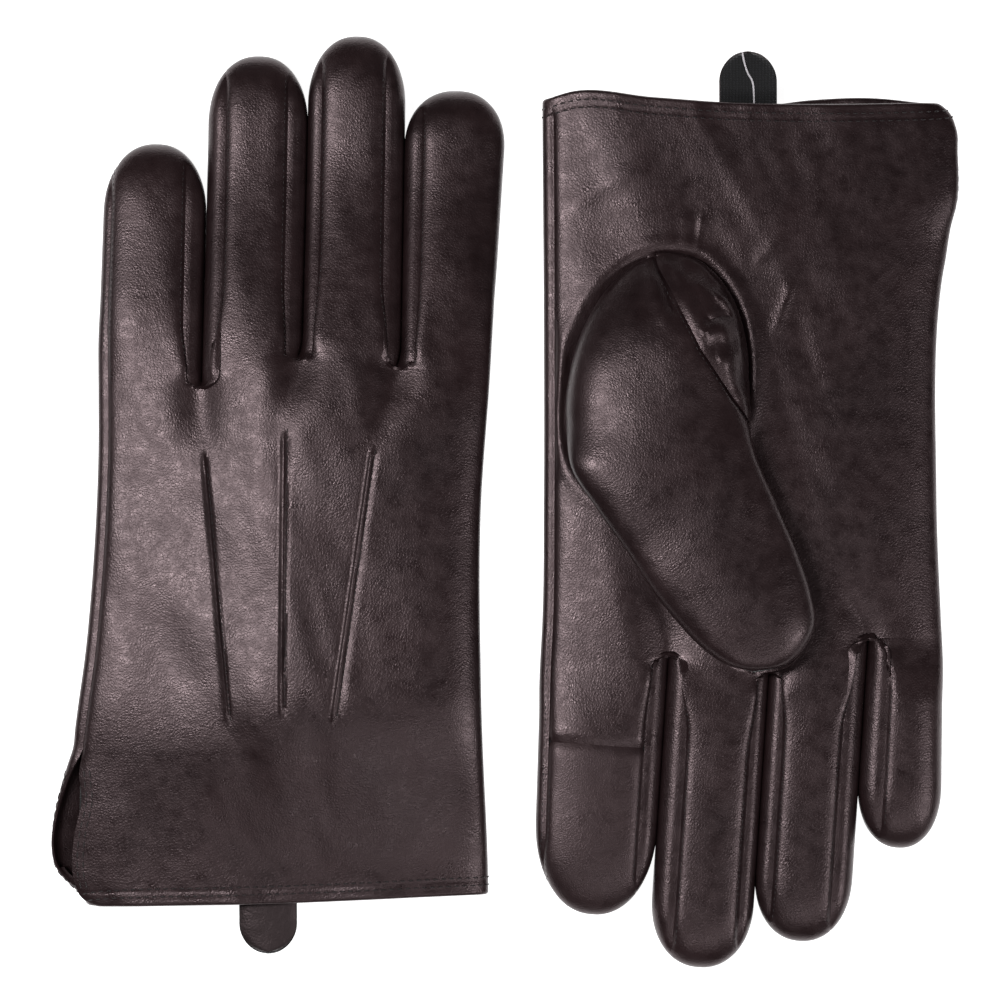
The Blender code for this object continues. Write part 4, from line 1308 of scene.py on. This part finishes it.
def thumb_directions(glove, grid):
    """The thumb's seams turn in towards its middle, and at its root towards the palm."""
    index_side, palm_side = thumb_sides()
    middle = (index_side + palm_side) / 2
    ring = thumb_point(glove, np.array([[math.pi / 2, -math.pi / 2]]), 0.0)
    heights = mix(-HALF_THICK, ring[..., 2].mean(axis=1), thumb_rows()[0] ** 3)
    directions = []
    for column in (0, -1):
        way = np.concatenate([middle * 1.0, heights[:, None]], axis=1) - grid[:, column]
        way[:, :2] *= 0.35
        size = np.linalg.norm(way, axis=1, keepdims=True)
        directions.append(way / np.maximum(size, 1e-4))
    return directions


def build_thumb(glove):
    side = glove.side
    for name in ("thumb_outer", "thumb_inner"):
        outer = name == "thumb_outer"
        grid = thumb_grid(glove, outer)
        grid = roll_edges(grid, thumb_directions(glove, grid), depth=0.7 * MM, width=1.1 * MM)
        piece = lay(glove, name + "_leather", grid, up(True), LEATHER, [name])
        unfold_with(glove, piece)
        rows = [line_beside(grid[4:-10], up(True), FROM_THUMB_SEAM, far=outer)]
        sewn = stitches(glove, name + "_stitches", rows, **SEAM_STITCH)
        unfold_with(glove, sewn)
        declare(piece, grid, "stretched", f"{side}_thumb_lining_cloth", [sewn])
    grid = thumb_point(glove, np.linspace(math.pi, -math.pi, 41)[None, :], THUMB_LINING_INSET)
    grid = grid[THUMB_LINING_FIRST_ROW:]
    piece = lay(glove, "thumb_lining_cloth", grid, up(True), LINING, ["thumb_lining"], LINING_SKIN)
    unfold_with(glove, piece)
    declare(piece, grid, "stretched", f"{side}_palm_panel_leather")


def tab_grid(glove, w, margin=0.0):
    """The tongue-shaped tab, from inside the cuff to its round end."""
    low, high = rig.box(f"{glove.side}_tab_leather")
    centre = (low.x + high.x) / 2
    half = (high.x - low.x) / 2 - margin
    reach = (high.y - low.y) - margin
    straight = reach - half
    turn = np.radians(np.linspace(0, 90, 16))[1:]
    run = np.concatenate([np.linspace(0, straight, 26), straight + half * np.sin(turn)])
    width = np.concatenate([np.full(26, half), half * np.cos(turn)])
    share = np.linspace(-1, 1, 25)
    x = width[:, None] * share[None, :]
    start = high.y if glove.side == "left" else low.y
    y = start + (-run if glove.side == "left" else run)[:, None] + 0 * x
    bow = 0.45 * MM * np.cos(math.pi / 2 * share)[None, :] - 0.5 * MM * (np.abs(share) ** 6)[None, :]
    droop = -0.8 * MM * smooth(run / reach)[:, None]
    return stack(centre + x, y, w + bow + droop)


def build_tab(glove):
    """The tab's two layers, with the thread that shows on the right one's backing."""
    side = glove.side
    for node, material, label in (("tab_leather", TAB, "tab_grained_leather"),
                                  ("tab_backing", LINING, "tab_backing_cloth")):
        low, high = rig.box(f"{side}_{node}")
        facing = 1 if (node == "tab_leather") == (side == "left") else -1
        grid = tab_grid(glove, (low.z + high.z) / 2 + facing * TAB_SKIN / 2)
        turned = -1 if glove.flip else 1
        piece = lay(glove, label, (grid - glove.place) * turned, (0, 0, facing * turned), material, [node],
                    TAB_SKIN)
        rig.ride(piece, f"{side}_tab")
        declare(piece, grid, "laid", f"{side}_back_panel_leather")
    if side == "right":
        white_thread((low.x + high.x) / 2, glove.place[1], high.z + 0.15 * MM)


def white_thread(x, y, z):
    """The loose white thread that lies along the right tab's backing."""
    path = bpy.data.curves.new("right_tab_white_thread", "CURVE")
    path.dimensions = "3D"
    line = path.splines.new("BEZIER")
    line.bezier_points.add(len(WHITE_THREAD_PATH) - 1)
    for point, (aside, past) in zip(line.bezier_points, WHITE_THREAD_PATH):
        point.co = (x - aside * MM, y + past * MM, z)
        point.handle_left_type = point.handle_right_type = "AUTO"
    path.bevel_depth = 0.26 * MM
    path.bevel_resolution = 2
    path.materials.append(WHITE_THREAD)
    thread = bpy.data.objects.new(path.name, path)
    bpy.context.collection.objects.link(thread)
    deselect()
    thread.select_set(True)
    bpy.context.view_layer.objects.active = thread
    bpy.ops.object.convert(target="MESH")
    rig.ride(bpy.context.object, "right_tab")


def build_glove(glove):
    build_hand_lining(glove)
    build_panels(glove)
    for number in range(4):
        build_finger(glove, number)
    build_thumb(glove)
    build_tab(glove)


# ---------------- floor, light and camera

# the camera sees FIELD across, at FIELD_HEIGHT over the floor
FIELD = 282.4 * MM
CAMERA_HEIGHT = 1.5
FIELD_HEIGHT = 10 * MM
SENSOR = 36
FLOOR_BELOW = 1.2 * MM


def build_floor():
    deselect()
    bpy.ops.mesh.primitive_grid_add(x_subdivisions=4, y_subdivisions=4, size=6)
    floor = bpy.context.object
    floor.name = "floor"
    floor.location.z = cad_box[0][2] - FLOOR_BELOW
    floor.data.materials.append(floor_material())
    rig.stage(floor)


def soft_light(name, place, size, power, aim=(0, 0, 0)):
    light = bpy.data.lights.new(name, "AREA")
    light.shape = "RECTANGLE"
    light.size, light.size_y = size
    light.energy = power
    lamp = bpy.data.objects.new(name, light)
    lamp.location = place
    lamp.rotation_euler = (Vector(aim) - Vector(place)).to_track_quat("-Z", "Y").to_euler()
    bpy.context.collection.objects.link(lamp)
    return lamp


def build_light():
    world = bpy.data.worlds.new("studio")
    bpy.context.scene.world = world
    world.use_nodes = True
    background = world.node_tree.nodes["Background"]
    background.inputs["Color"].default_value = colour("#ffffff")
    background.inputs["Strength"].default_value = 0.05
    soft_light("key", (-0.50, 0.08, 1.1), (0.10, 0.45), 8.0)
    soft_light("side", (-0.78, 0.2, 0.75), (0.3, 0.8), 1.2)
    soft_light("front", (0.12, -0.62, 1.0), (0.6, 0.2), 1.6)
    soft_light("rim", (0.75, -0.35, 0.8), (0.2, 0.5), 3.8)


def build_camera():
    camera = bpy.data.cameras.new("camera")
    camera.sensor_width = SENSOR
    camera.lens = SENSOR * (CAMERA_HEIGHT - FIELD_HEIGHT) / FIELD
    view = bpy.data.objects.new("camera", camera)
    view.location = (0, 0, CAMERA_HEIGHT)
    bpy.context.collection.objects.link(view)
    bpy.context.scene.camera = view
    bpy.context.scene.view_settings.view_transform = "Standard"


for each in (LEFT, RIGHT):
    build_glove(each)
build_floor()
build_light()
build_camera()

with open("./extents.json", "w") as sizes:
    boxes = {"cad": cad_box, "visual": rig.bounds()}
    json.dump({k: [[float(x) for x in corner] for corner in b] for k, b in boxes.items()}, sizes)
